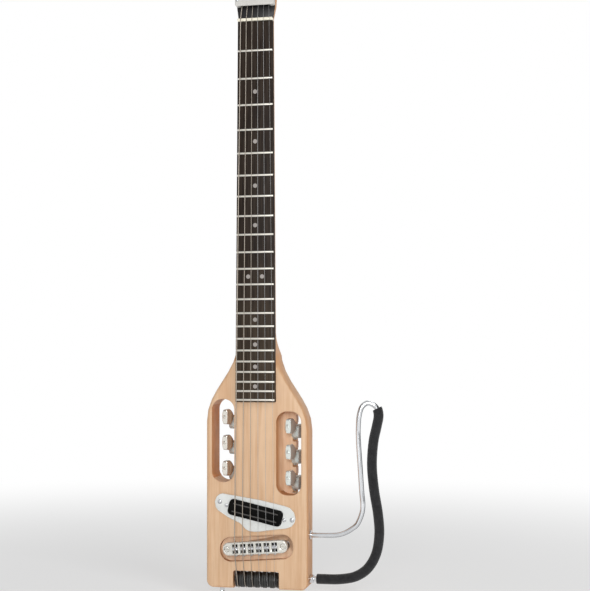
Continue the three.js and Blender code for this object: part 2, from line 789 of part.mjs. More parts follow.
function bodyCuts() {
  const deep = bodyThickness + overrun;
  const channelFloor = bodyThickness - channelDepth;
  const bassSlot = () => slotShape(-bassSlotInner, -bassSlotOuter, bassSlotFoot);
  const trebleSlot = () => slotShape(trebleSlotInner, trebleSlotOuter, trebleSlotFoot);
  const far = scaleLength;
  const cuts = [
    heelScoop(),
    plate(bassSlot(), -overrun, bassLipDepth),
    overlapOf(plate(bassSlot(), 0, deep), box([-far, 0, 0], [-bassSeatLine, far, far])),
    plate(trebleSlot(), -overrun, trebleShelfDepth),
    overlapOf(plate(trebleSlot(), 0, deep), box([trebleSeatLine, 0, 0], [far, far, far])),
    plate(channelShape(), channelFloor, deep),
    plate(sideChannelShape(), bodyThickness - sideChannelDepth, deep),
    plate(notchShape(), -overrun, deep, 0, 4),
    turnInFront(
      plate(stadium(bridgePocketLength, bridgePocketWidth), -overrun, bridgePocketDepth, 0, 6),
      bridgeTilt, 0, bridgePocketLift,
    ),
    turnInFront(
      plate(
        roundedRectangle(
          0, 0, basePlateLength + 2 * fitGap, pickupWidth + 2 * fitGap, pickupCorner,
        ),
        -overrun, pickupCavityDepth, 0, 3,
      ),
      pickupTilt, pickupX, pickupZ,
    ),
    box(
      [-trussRodWidth / 2 - fitGap, -overrun, trussRodFoot - fitGap],
      [trussRodWidth / 2 + fitGap, trussRodDepth + fitGap, trussRodHead + fitGap],
    ),
    rod('x', axleRadius + axleFit, notchMiddle - notchHalfWidth - axleSeat,
      notchMiddle + notchHalfWidth + axleSeat, [axleY, axleZ], 12),
    ...bridgePostPlaces.map(([x, z]) => (
      rod('y', bushRadius + fitGap, 0, bridgePocketDepth + bushLength + fitGap, [x, z], 12))),
    ...surroundScrewPlaces.map(([x, z]) => (
      rod('y', surroundScrewRadius + fitGap, -overrun, surroundScrewLength, [x, z], 8))),
    ...legPlaces.map((z) => (
      rod('x', socketRadius + fitGap, bodyHalfWidth - rodSeat - 2 * fitGap,
        bodyHalfWidth + overrun, [restMiddle, z], 14))),
    ...legPlaces.map((z) => (
      rod('x', socketFlangeRadius + fitGap, bodyHalfWidth - socketFlangeThickness / 2,
        bodyHalfWidth + overrun, [restMiddle, z], 14))),
    rod('z', strapScrewRadius + fitGap, -tailLength - overrun,
      strapSeatDepth + strapScrewLength - tailLength, [strapButtonX, restMiddle], 8),
    rod('z', strapButtonBase + strapSeatMargin, -tailLength - overrun, strapSeatDepth - tailLength,
      [strapButtonX, restMiddle], 14),
    rod('y', strapScrewRadius + fitGap, bodyThickness - strapSeatDepth - strapScrewLength, deep,
      [0, heelButtonHeight], 8),
    rod('y', strapButtonBase + strapSeatMargin, bodyThickness - strapSeatDepth, deep,
      [0, heelButtonHeight], 14),
    ...[-1, 1].map((side) => (
      rod('y', headScrewRadius + fitGap, -overrun, headScrewLength - capProud,
        [side * capScrewX, headEnd - capHeight / 2], 8))),
    rod('x', jackBarrelRadius + fitGap, -bodyHalfWidth - overrun, jackInner - bodyHalfWidth,
      [jackDepth, jackHeight], 14),
    wireWay(),
    box(
      [-bodyHalfWidth - overrun, jackDepth - jackPlateWidth / 2 - fitGap,
        jackHeight - jackPlateLength / 2 - fitGap],
      [jackPlateThickness + seatGap - bodyHalfWidth, jackDepth + jackPlateWidth / 2 + fitGap,
        jackHeight + jackPlateLength / 2 + fitGap],
    ),
    ...jackScrewPlaces().map((z) => (
      rod('x', jackScrewRadius + fitGap, -bodyHalfWidth - overrun, jackScrewLength - bodyHalfWidth,
        [jackDepth, z], 8))),
  ];
  for (const tuner of tuners) {
    const away = tuner.side;
    const out = caseThickness + overrun;
    const seatLow = Math.min(0, away * out);
    const bore = (radius, from, to, z, sides) => inTuner(tuner, rod(
      'x', radius, Math.min(away * from, away * to), Math.max(away * from, away * to),
      [0, z], sides,
    ));
    cuts.push(inTuner(tuner, box(
      [seatLow, -caseLength / 2 - fitGap, caseFoot - 2 * lugRadius - fitGap],
      [seatLow + out, caseLength, caseTop + fitGap],
    )));
    cuts.push(bore(bushingRadius + fitGap, overrun, -tuner.flange, 0, 12));
    cuts.push(bore(
      bushingFlangeRadius + fitGap, seatGap - tuner.flange, -tuner.flange - 2 * overrun, 0, 12,
    ));
    cuts.push(bore(lugScrewRadius + fitGap, 0, -lugScrewLength, lugScrewZ, 6));
  }
  return cuts;
}

function jackScrewPlaces() {
  const reach = (jackPlateLength - jackPlateWidth / 2) / 2;
  return [jackHeight - reach, jackHeight + reach];
}

function makeBodyAndNeck() {
  const slab = plate(bodyShape(), 0, bodyThickness, bodyEdgeRadius, 8, 2);
  const scooped = cut(slab, heelScoop());
  addPiece('neck_through_body', cut(join(scooped, neckLoft()), ...bodyCuts().slice(1)), maple);
}

// Fingerboard with its frets pressed in, and the nut

function makeFingerboard() {
  const front = -boardThickness - seatGap;
  const board = plate(shapeOf([
    [-boardHalfWidth(boardEnd), boardEnd], [boardHalfWidth(boardEnd), boardEnd],
    [boardHalfWidth(nutEdge), nutEdge - seatGap], [-boardHalfWidth(nutEdge), nutEdge - seatGap],
  ]), front, -seatGap);
  const frets = [];
  for (let number = 1; number <= fretCount; number += 1) {
    const z = fretPlace(number);
    const reach = boardHalfWidth(z) - fretEndInset;
    const crown = [
      [-fretWidth / 2, -fretBed], [-fretWidth / 2, 0], [-fretWidth / 3, fretHeight * crownShare],
      [0, fretHeight], [fretWidth / 3, fretHeight * crownShare], [fretWidth / 2, 0],
      [fretWidth / 2, -fretBed],
    ];
    const shape = new THREE.Shape(crown.map(([along, up]) => new THREE.Vector2(along, -up)));
    const fret = new THREE.ExtrudeGeometry(shape, { depth: 2 * reach, bevelEnabled: false });
    fret.rotateY(half);
    fret.translate(-reach, front, z);
    frets.push(fret);
  }
  addPiece('fingerboard', join(board, ...frets), darkWood);
}

function makeNut() {
  const outline = [[-nutHalfWidth, -seatGap], [-nutHalfWidth, -nutHeight]];
  for (let i = 0; i < stringCount; i += 1) {
    const x = stringX(i, nutSpread);
    const reach = stringDiameters[i] / 2 + fitGap / 2;
    const depth = -stringHeightAtNut + seatGap;
    outline.push([x - reach, -nutHeight], [x - reach, depth], [x + reach, depth]);
    outline.push([x + reach, -nutHeight]);
  }
  outline.push([nutHalfWidth, -nutHeight], [nutHalfWidth, -seatGap]);
  const shape = new THREE.Shape(outline.map(([x, y]) => new THREE.Vector2(x, y)));
  const nut = new THREE.ExtrudeGeometry(shape, { depth: nutThickness, bevelEnabled: false });
  nut.translate(0, 0, nutEdge);
  addPiece('nut', nut, ivoryPlastic);
}

// Head: overlay, string anchor under its cap, and the truss rod below

function makeHead() {
  const screwZ = headEnd - capHeight / 2;
  const overlayFront = -overlayThickness - seatGap;
  const overlay = plate(shapeOf([
    [-nutHalfWidth, nutBack + seatGap], [nutHalfWidth, nutBack + seatGap],
    [headHalfWidth, capFoot], [headHalfWidth, headEnd], [-headHalfWidth, headEnd],
    [-headHalfWidth, capFoot],
  ]), overlayFront, -seatGap);
  const screwHoles = [-1, 1].map((side) => (
    rod('y', headScrewRadius + fitGap, -capProud, overrun, [side * capScrewX, screwZ], 8)));
  addPiece('head_overlay', cut(overlay, ...screwHoles), blackPlastic);

  const capBack = overlayFront - seatGap;
  const capShape = roundedRectangle(0, screwZ, 2 * capHalfWidth, capHeight, capCorner);
  const cap = plate(capShape, -capProud, capBack, capEdge, 2, 1);
  const room = box(
    [capEndBlock - capHalfWidth, capWall - capProud, capFoot - overrun],
    [capHalfWidth - capEndBlock, capBack + overrun, headEnd - capWall],
  );
  const sinks = [-1, 1].map((side) => (
    rod('y', headScrewHeadRadius + fitGap, -capProud - overrun,
      headScrewHeadHeight + fitGap - capProud, [side * capScrewX, screwZ], 10)));
  addPiece('head_cap', cut(cap, room, ...screwHoles, ...sinks), whitePlastic);

  const holes = Array.from({ length: stringCount }, (_, i) => rod(
    'z', anchorHoleRadius, anchorFoot - overrun, anchorFoot + anchorThickness + overrun,
    [stringX(i, anchorSpread), anchorY], 8,
  ));
  const bar = box(
    [capEndBlock + seatGap - capHalfWidth, capWall + seatGap - capProud, anchorFoot],
    [capHalfWidth - capEndBlock - seatGap, capBack - anchorMargin, anchorFoot + anchorThickness],
  );
  addPiece('string_anchor', cut(bar, ...holes), steel);
}

const anchorFoot = capFoot + capWall;
const anchorY = -stringHeightAtCap;

function makeTrussRod() {
  const side = trussRodWidth / 2;
  const frontBar = box([-side, seatGap, trussRodFoot], [side, trussRodBar, trussRodHead]);
  const backBar = rod('z', trussRodBar / 2, trussRodFoot, trussRodHead,
    [0, trussRodDepth - trussRodBar / 2], 8);
  const blocks = [trussRodFoot, trussRodHead - trussRodEndBlock].map((foot) => (
    box([-side, seatGap, foot], [side, trussRodDepth, foot + trussRodEndBlock])));
  addPiece('truss_rod', join(frontBar, backBar, ...blocks), steel);
}

// Pickup and its surround

function makePickup() {
  const place = (geometry) => turnInFront(geometry, pickupTilt, pickupX, pickupZ);
  const outline = (margin, corner) => (
    roundedRectangle(0, 0, pickupLength + margin, pickupWidth + margin, corner));
  const coverBack = pickupCoverDepth - pickupProud;
  const blades = (margin, front, back) => [-1, 1].map((side) => box(
    [-bladeLength / 2 - margin, front, (side * bladeSpread) / 2 - bladeThickness / 2 - margin],
    [bladeLength / 2 + margin, back, (side * bladeSpread) / 2 + bladeThickness / 2 + margin],
  ));
  const shell = plate(outline(0, pickupCorner), -pickupProud, coverBack, pickupEdge, 3, 1);
  const hollow = plate(
    outline(-2 * pickupWall, pickupCorner - pickupWall), pickupWall - pickupProud,
    coverBack + overrun, 0, 3,
  );
  addPiece('pickup_cover', place(cut(
    shell, hollow, ...blades(fitGap / 2, -pickupProud - overrun, 0),
  )), blackPlastic);

  const bladeFront = -pickupProud - bladeProud;
  const coilFront = pickupWall + fitGap - pickupProud;
  const coils = [-1, 1].map((side) => plate(
    roundedRectangle(
      0, (side * bladeSpread) / 2, bladeLength + coilWidth / 2, coilWidth, coilWidth / 3,
    ),
    coilFront, coilFront + coilHeight, 0, 3,
  ));
  const magnet = box(
    [-bladeLength / 2, coilFront + magnetInset, -bladeSpread / 2],
    [bladeLength / 2, coilFront + coilHeight - magnetInset, bladeSpread / 2],
  );
  addPiece('pickup_coils', place(join(
    ...coils, magnet, ...blades(0, bladeFront, coilFront + coilHeight),
  )), steel);

  const baseFront = coverBack + seatGap;
  const base = plate(
    roundedRectangle(0, 0, basePlateLength - 2 * fitGap, basePlateWidth, basePlateWidth / 3),
    baseFront, baseFront + basePlateThickness, 0, 3,
  );
  const screwHoles = [-1, 1].map((side) => (
    rod('y', heightScrewRadius + fitGap / 2, baseFront - overrun,
      baseFront + basePlateThickness + overrun, [(side * heightScrewSpread) / 2, 0], 8)));
  addPiece('pickup_base_plate', place(cut(base, ...screwHoles)), steel);
}

function makeSurround() {
  const outline = surroundOutlineShares.map(([across, up]) => (
    [surroundMiddleX + across * surroundWidth, surroundMiddleZ + up * surroundHeight]));
  const front = -surroundThickness - seatGap;
  const sheet = plate(shapeOf(outline), front, -seatGap, surroundEdge, 4, 1);
  const window = turnInFront(plate(
    roundedRectangle(
      0, 0, pickupLength + 2 * fitGap, pickupWidth + 2 * fitGap, pickupCorner + fitGap,
    ),
    front - overrun, overrun, 0, 4,
  ), pickupTilt, pickupX, pickupZ);
  const holes = [
    ...surroundScrewPlaces.map(([x, z]) => (
      rod('y', surroundScrewRadius + seatGap, front - overrun, overrun, [x, z], 8))),
    ...heightScrewPlaces.map(([x, z]) => (
      rod('y', heightScrewRadius + fitGap, front - overrun, overrun, [x, z], 8))),
  ];
  addPiece('pickup_surround', cut(sheet, window, ...holes), whitePlastic);
}

// Bridge

function makeBridge() {
  const tilt = (geometry) => turnInFront(geometry, bridgeTilt, 0, 0);
  const back = bridgeThickness - bridgeTopHeight;
  const bar = plate(stadium(bridgeLength, bridgeWidth), -bridgeTopHeight, back, bridgeEdge, 4, 1);
  const screwY = -intonationScrewHeight;
  const reach = saddleWindowLength / 2;
  const cuts = [];
  const across = Math.cos(bridgeTilt * degrees);
  for (let i = 0; i < stringCount; i += 1) {
    const x = stringX(i, bridgeSpread) / across;
    const window = saddleWindowWidth / 2;
    cuts.push(box(
      [x - window, -bridgeTopHeight - overrun, -reach],
      [x + window, saddleWindowDepth - bridgeTopHeight, reach],
    ));
    cuts.push(rod('z', intonationScrewRadius + fitGap / 2, -bridgeWidth / 2 - overrun,
      reach + overrun / 2, [x, screwY], 8));
    const halfSaddle = window - seatGap * 2;
    const crest = stringHeightAtBridge - saddleGap;
    const foot = bridgeTopHeight - saddleWindowDepth + seatGap * 2;
    const profile = [
      [-saddleThickness / 2, -foot], [saddleThickness / 2, -foot],
      [saddleThickness / 2, -bridgeTopHeight], [saddleCrest / 2, -crest],
      [-saddleCrest / 2, -crest], [-saddleThickness / 2, -bridgeTopHeight],
    ];
    const shape = new THREE.Shape(profile.map(([along, y]) => new THREE.Vector2(along, y)));
    const block = new THREE.ExtrudeGeometry(shape, { depth: 2 * halfSaddle, bevelEnabled: false });
    block.rotateY(half);
    block.scale(1, 1, -1);
    block.translate(x - halfSaddle, 0, 0);
    const bore = rod('z', intonationScrewRadius + fitGap / 2, -bridgeWidth, bridgeWidth,
      [x, screwY], 8);
    addPiece(`saddle_${stringCount - i}`, tilt(cut(block, bore)), chrome);
  }
  for (const side of [-1, 1]) {
    cuts.push(rod('y', studRadius + fitGap, -bridgeTopHeight - overrun, back + overrun,
      [(side * bridgePostSpread) / 2, 0], 14));
  }
  addPiece('bridge', tilt(cut(bar, ...cuts)), chrome);
  const postTop = -bridgeTopHeight + seatGap;
  const postFoot = bridgePocketDepth + bushLength - overrun;
  const wheelFront = back + seatGap;
  bridgePostPlaces.forEach(([x, z], index) => {
    const place = index === 0 ? 'bass' : 'treble';
    addPiece(`bridge_post_${place}`, cut(
      join(
        rod('y', studRadius, postTop, postFoot, [x, z], 14),
        rod('y', wheelRadius, wheelFront, wheelFront + wheelThickness, [x, z], wheelNotches),
      ),
      box([x - studRadius - overrun, postTop - overrun, z - studSlotWidth / 2],
        [x + studRadius + overrun, postTop + studSlotDepth, z + studSlotWidth / 2]),
    ), chrome);
    addPiece(`bridge_bushing_${place}`, cut(
      rod('y', bushRadius, bridgePocketDepth, bridgePocketDepth + bushLength, [x, z], 12),
      rod('y', studRadius + seatGap, bridgePocketDepth - overrun,
        bridgePocketDepth + bushLength - bushFloor, [x, z], 14),
    ), steel);
  });
}

// Rollers

const rollerBottom = rollerRadius - rollerGroove;

function makeRollers() {
  for (let i = 0; i < stringCount; i += 1) {
    const x = rollerMiddle(i);
    const from = x - rollerWidth / 2 + (i === 0 ? endRollerTrim : 0);
    const to = x + rollerWidth / 2 - (i === stringCount - 1 ? endRollerTrim : 0);
    const bore = axleRadius + axleFit;
    addPiece(`tail_roller_${stringCount - i}`, turned('x', [
      [bore, from], [rollerRadius, from],
      [rollerRadius, x - rollerGrooveHalfWidth], [rollerBottom, x - rollerFloor],
      [rollerBottom, x + rollerFloor], [rollerRadius, x + rollerGrooveHalfWidth],
      [rollerRadius, to], [bore, to], [bore, from],
    ], [axleY, axleZ], rollerSides), blackPlastic);
  }
  const reach = notchHalfWidth + axleSeat - fitGap;
  const wall = notchHalfWidth - fitGap;
  const collar = (rollerSpread + rollerWidth) / 2 - endRollerTrim + fitGap;
  addPiece('roller_axle', turned('x', [
    [0, -reach], [axleRadius, -reach], [axleRadius, -wall], [axleCollarRadius, -wall],
    [axleCollarRadius, -collar], [axleRadius, -collar], [axleRadius, collar],
    [axleCollarRadius, collar], [axleCollarRadius, wall], [axleRadius, wall],
    [axleRadius, reach], [0, reach],
  ].map(([radius, along]) => [radius, notchMiddle + along]), [axleY, axleZ], rollerSides), steel);
}

function rollerMiddle(i) {
  return notchMiddle + stringX(i, rollerSpread);
}

// Tuners

function makeTuners() {
  for (const tuner of tuners) {
    const number = stringCount - tuner.string;
    const away = tuner.side; // the case lies on this side of the seat, the post on the other
    const span = (from, to) => [Math.min(away * from, away * to), Math.max(away * from, away * to)];
    const along = (radius, from, to, z, sides) => rod('x', radius, ...span(from, to), [0, z], sides);
    const middle = (caseTop + caseFoot) / 2;
    const slab = (from, to, shape, edge) => {
      const [low, high] = span(from, to);
      const geometry = new THREE.ExtrudeGeometry(shape, {
        depth: high - low - 2 * edge, bevelEnabled: edge > 0, bevelSize: edge,
        bevelThickness: edge, bevelOffset: -edge, bevelSegments: 1, curveSegments: 2,
      });
      geometry.rotateZ(half);
      geometry.rotateY(half);
      geometry.translate(low + edge, 0, 0);
      return geometry;
    };

    const outer = slab(seatGap, caseThickness,
      roundedRectangle(0, -middle, caseLength, caseHeight, caseCorner), caseEdge);
    const lug = along(lugRadius, seatGap, lugThickness, lugZ, 10);
    const room = box(
      [span(caseWall, caseThickness - caseWall)[0], caseWall - caseLength / 2, caseFoot + caseWall],
      [span(caseWall, caseThickness - caseWall)[1], caseLength / 2 - caseWall, caseTop - caseWall],
    );
    const keyX = away * (caseThickness / 2);
    const sleeve = along(bushingRadius, -tuner.flange - seatGap, seatGap * 2, 0, 10);
    const flange = along(
      bushingFlangeRadius, -tuner.flange - bushingFlangeThickness, -tuner.flange, 0,
      bushingFlangeSides,
    );
    const caseSolid = cut(
      join(outer, lug, sleeve, flange), room,
      along(postRadius + fitGap, -tuner.flange - overrun, caseThickness / 2, 0, 10),
      rod('y', keyShaftRadius + fitGap, -caseLength, 0, [keyX, keyZ], 8),
      along(lugScrewRadius + fitGap / 2, -overrun, lugThickness + overrun, lugScrewZ, 8),
    );
    addPiece(`tuner_case_${number}`, inTuner(tuner, caseSolid), chrome);

    const wormEnd = caseLength / 2 - caseWall - fitGap;
    const shaftFront = -caseLength / 2 - seatGap;
    const collar = turned('y', [
      [0, shaftFront - keyCollarLength], [keyShaftRadius, shaftFront - keyCollarLength],
      [keyCollarRadius, shaftFront], [0, shaftFront],
    ], [keyX, keyZ], 10);
    const shaft = rod('y', keyShaftRadius, buttonLength / 2 - buttonTip, wormEnd, [keyX, keyZ], 8);
    const button = buttonSolid();
    button.translate(keyX, -buttonTip + buttonLength / 2, keyZ);
    const buttonScrew = rod('y', buttonScrewRadius, -buttonTip - buttonScrewHeight,
      -buttonTip + buttonScrewHeight, [keyX, keyZ], 10);
    const key = join(shaft, collar, button, buttonScrew);
    addPiece(`tuner_key_${number}`, inTuner(tuner, key), chrome);

    const tip = -tuner.waistTo - postTipLength;
    const gearFrom = caseThickness / 2 - gearThickness / 2;
    const gearTo = caseThickness / 2 + gearThickness / 2;
    const postProfile = [
      [0, gearTo], [gearHub, gearTo], [gearHub, gearFrom], [postRadius, gearFrom],
      [postRadius, -tuner.waistFrom], [postWaist, -tuner.waistFrom],
      [postWaist, -tuner.waistTo], [postRadius, -tuner.waistTo], [postRadius, tip], [0, tip],
    ].map(([radius, place]) => [radius, away * place]);
    const gear = gearSolid();
    gear.translate(keyX, 0, 0);
    const hole = rod('z', stringHoleRadius, -2 * overrun, 2 * overrun,
      [-away * (tuner.waistTo - stringHoleRadius), 0], 8);
    const post = cut(join(turned('x', postProfile, [0, 0], 10), gear), hole);
    addPiece(`tuner_post_${number}`, inTuner(tuner, post), chrome);

  }
}

// The key's button: an oval flat plate, waisted a little at its root
function buttonSolid() {
  const shape = new THREE.Shape();
  const across = buttonHeight / 2;
  const root = buttonLength / 2;
  shape.moveTo(0, root);
  shape.bezierCurveTo(
    -across * rootShare, root, -across, root * shoulderShare, -across, 0,
  );
  shape.bezierCurveTo(-across, -root * shoulderShare, -across * tipShare, -root, 0, -root);
  shape.bezierCurveTo(across * tipShare, -root, across, -root * shoulderShare, across, 0);
  shape.bezierCurveTo(across, root * shoulderShare, across * rootShare, root, 0, root);
  const geometry = new THREE.ExtrudeGeometry(shape, {
    depth: buttonThickness - 2 * buttonEdge, bevelEnabled: true, bevelSize: buttonEdge,
    bevelThickness: buttonEdge, bevelOffset: -buttonEdge, bevelSegments: 1, curveSegments: 3,
  });
  geometry.translate(0, 0, buttonEdge - buttonThickness / 2);
  geometry.rotateY(half);
  return geometry;
}

function gearSolid() {
  const points = [];
  for (let tooth = 0; tooth < gearTeeth; tooth += 1) {
    for (const [turn, radius] of [[0, gearRadius], [0.5, gearRadius - gearToothDepth]]) {
      const angle = (2 * Math.PI * (tooth + turn)) / gearTeeth;
      points.push(new THREE.Vector2(radius * Math.cos(angle), radius * Math.sin(angle)));
    }
  }
  const geometry = new THREE.ExtrudeGeometry(new THREE.Shape(points), {
    depth: gearThickness, bevelEnabled: false,
  });
  geometry.translate(0, 0, -gearThickness / 2);
  geometry.rotateY(half);
  return geometry;
}

// Strings: from the anchor over the nut, saddle and roller to the post that winds them

function stringStations(i) {
  const radius = stringDiameters[i] / 2;
  const stations = [];
  const add = (x, y, z) => stations.push(new THREE.Vector3(x, y, z));
  const ballFoot = anchorFoot + anchorThickness + seatGap;
  const anchorX = stringX(i, anchorSpread);
  const nutX = stringX(i, nutSpread);
  add(anchorX, anchorY, ballFoot + ballRadius);
  add(anchorX, anchorY, anchorFoot - seatGap);
  add(anchorX, anchorY, capFoot);
  add(nutX, -stringHeightAtNut - radius, nutBack);
  add(nutX, -stringHeightAtNut - radius, nutEdge);
  const crestX = stringX(i, bridgeSpread);
  const crestZ = Math.tan(bridgeTilt * degrees) * crestX;
  const crestY = -stringHeightAtBridge - radius;
  add(crestX, crestY, crestZ + saddleCrest);
  add(crestX, crestY, crestZ - saddleCrest);
  const wrap = rollerBottom + fitGap + radius;
  const x = rollerMiddle(i);
  const tuner = tuners.find((candidate) => candidate.string === i);
  const frame = tunerFrame(tuner);
  const round = postWaist + fitGap / 2 + radius;
  const onPost = (step) => {
    const angle = (2 * Math.PI * step) / windingSteps;
    const along = tuner.start + tuner.pitch * (step / windingSteps);
    return new THREE.Vector3(
      -tuner.side * along, round * Math.cos(angle), round * Math.sin(angle),
    ).applyMatrix4(frame);
  };
  const first = onPost(0);
  const comesIn = Math.atan2(axleY - wrap - crestY, crestZ - axleZ);
  const goesOut = Math.atan2(first.y - axleY - wrap, first.z - axleZ);
  for (let step = 0; step <= wrapSteps; step += 1) {
    const angle = comesIn + (Math.PI - goesOut - comesIn) * (step / wrapSteps);
    add(x, axleY - wrap * Math.cos(angle), axleZ - wrap * Math.sin(angle));
  }
  for (let step = 0; step <= Math.round(tuner.turns * windingSteps); step += 1) {
    stations.push(onPost(step));
  }
  const last = stations[stations.length - 1];
  const before = stations[stations.length - 2];
  const onward = new THREE.Vector3().subVectors(last, before).setLength(stringEndLength);
  stations.push(last.clone().add(onward));
  return stations;
}

function leastGapInWinding(i) {
  const radius = stringDiameters[i] / 2;
  const { turns } = tuners.find((tuner) => tuner.string === i);
  const stations = stringStations(i).slice(-Math.round(turns * windingSteps) - 1);
  let least = Infinity;
  for (let a = 0; a < stations.length; a += 1) {
    for (let b = a + windingSteps / 2; b < stations.length; b += 1) {
      least = Math.min(least, stations[a].distanceTo(stations[b]) - 2 * radius);
    }
  }
  return least;
}

function stringSolid(i) {
  const radius = stringDiameters[i] / 2;
  const wire = tube(stringStations(i), radius, stringSides);
  const ballZ = anchorFoot + anchorThickness + seatGap + ballRadius;
  const anchorX = stringX(i, anchorSpread);
  const ball = rod('x', ballRadius, anchorX - ballWidth / 2, anchorX + ballWidth / 2,
    [anchorY, ballZ], 10);
  return join(wire, ball);
}

function makeStrings() {
  const wound = [0, 1, 2];
  const plain = [3, 4, 5];
  wound.forEach((i) => addPiece(`string_${stringCount - i}`, stringSolid(i), bronze));
  plain.forEach((i) => addPiece(`string_${stringCount - i}`, stringSolid(i), steel));
  const gaps = [...wound, ...plain].map(leastGapInWinding);
  console.log(`least gap between turns of a string: ${Math.min(...gaps).toFixed(3)} mm`);
}

// Lap rest

function restStations() {
  const points = restRouteShares.map(([reach, rise, back]) => new THREE.Vector3(
    bodyHalfWidth + reach * restReach, restMiddle + back * restSetBack, lowerLeg + rise * restRise,
  ));
  const bend = new THREE.CatmullRomCurve3(points, false, 'centripetal');
  const stations = bend.getSpacedPoints(rodSteps);
  return stations;
}

function makeLapRest() {
  const stations = restStations();
  const inside = (point) => point.clone().setX(bodyHalfWidth - rodSeat);
  const whole = [inside(stations[0]), ...stations, inside(stations[stations.length - 1])];
  addPiece('lap_rest_rod', tube(whole, rodRadius, rodSides), chrome);
  const from = Math.round(foamStartShare * rodSteps);
  const to = Math.round(foamEndShare * rodSteps);
  const sleeve = tube(stations.slice(from, to + 1), foamRadius, foamSides, foamBore);
  addPiece('lap_rest_foam', sleeve, foam);
  legPlaces.forEach((z, index) => {
    const upper = index > 0;
    const flange = upper ? socketFlangeThickness : collarLength;
    const rim = upper ? socketFlangeRadius : collarRadius;
    addPiece(upper ? 'lap_rest_socket_upper' : 'lap_rest_socket_lower', turned('x', [
      [rodRadius + fitGap, bodyHalfWidth - socketLength],
      [socketRadius, bodyHalfWidth - socketLength], [socketRadius, bodyHalfWidth + seatGap],
      [rim, bodyHalfWidth + seatGap], [rim, bodyHalfWidth + seatGap + flange],
      [rodRadius + fitGap, bodyHalfWidth + seatGap + flange],
      [rodRadius + fitGap, bodyHalfWidth - socketLength],
    ], [restMiddle, z], 14), chrome);
  });
}

// Strap buttons and jack

function strapButtonProfile(seat, direction) {
  const head = strapButtonLength;
  return [
    [0, fitGap - strapScrewLength], [strapScrewRadius, fitGap - strapScrewLength],
    [strapScrewRadius, seatGap], [strapButtonBase, seatGap], [strapButtonWaist, head / 3],
    [strapButtonWaist, (2 * head) / 3], [strapButtonFlange, (5 * head) / 6],
    [strapButtonFlange, head], [strapScrewHeadRadius, head],
    [strapScrewHeadRadius - strapScrewHeadDepth / 2, head - strapScrewHeadDepth / 2],
    [0, head - strapScrewHeadDepth / 2],
  ].map(([radius, along]) => [radius, seat + direction * along]);
}

function makeStrapButtons() {
  addPiece('strap_button_tail', turned(
    'z', strapButtonProfile(strapSeatDepth - tailLength, -1), [strapButtonX, restMiddle], 14,
  ), chrome);
  addPiece('strap_button_heel', turned(
    'y', strapButtonProfile(bodyThickness - strapSeatDepth, 1), [0, heelButtonHeight], 14,
  ), chrome);
}

function makeJack() {
  const face = -bodyHalfWidth;
  const plateShape = roundedRectangle(
    0, 0, jackPlateLength, jackPlateWidth, jackPlateWidth / 2 - seatGap,
  );
  const sheet = new THREE.ExtrudeGeometry(plateShape, {
    depth: jackPlateThickness, bevelEnabled: false, curveSegments: 5,
  });
  sheet.rotateY(half);
  sheet.translate(face, jackDepth, jackHeight);
  const holes = [
    rod('x', jackSleeveRadius - seatGap, face - overrun, face + jackPlateThickness + overrun,
      [jackDepth, jackHeight], 14),
    ...jackScrewPlaces().map((z) => (
      rod('x', jackScrewRadius + fitGap, face - overrun, face + jackPlateThickness + overrun,
        [jackDepth, z], 8))),
  ];
  const end = face + jackBarrelLength / 2;
  const barrel = turned('x', [
    [jackBore, face - jackNutThickness], [jackNutRadius, face - jackNutThickness],
    [jackNutRadius, face + seatGap], [jackSleeveRadius, face + seatGap],
    [jackSleeveRadius, face + jackPlateThickness - seatGap],
    [jackBarrelRadius, face + jackPlateThickness - seatGap], [jackBarrelRadius, end],
    [jackBore, end], [jackBore, face - jackNutThickness],
  ], [jackDepth, jackHeight], 14);
  addPiece('output_jack', join(cut(sheet, ...holes), barrel), chrome);
}

makeBodyAndNeck();
makeFingerboard();
makeNut();
makeHead();
makeTrussRod();
makeStrings();
makePickup();
makeSurround();
makeBridge();
makeRollers();
makeTuners();
makeLapRest();
makeStrapButtons();
makeJack();

export default guitar;
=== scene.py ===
"""A headless travel guitar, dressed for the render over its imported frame."""

from __future__ import annotations

import json
import logging
import math
from contextlib import contextmanager
from dataclasses import dataclass
from enum import Enum, IntEnum
from typing import Iterator, Sequence

import bpy
from mathutils import Matrix, Vector

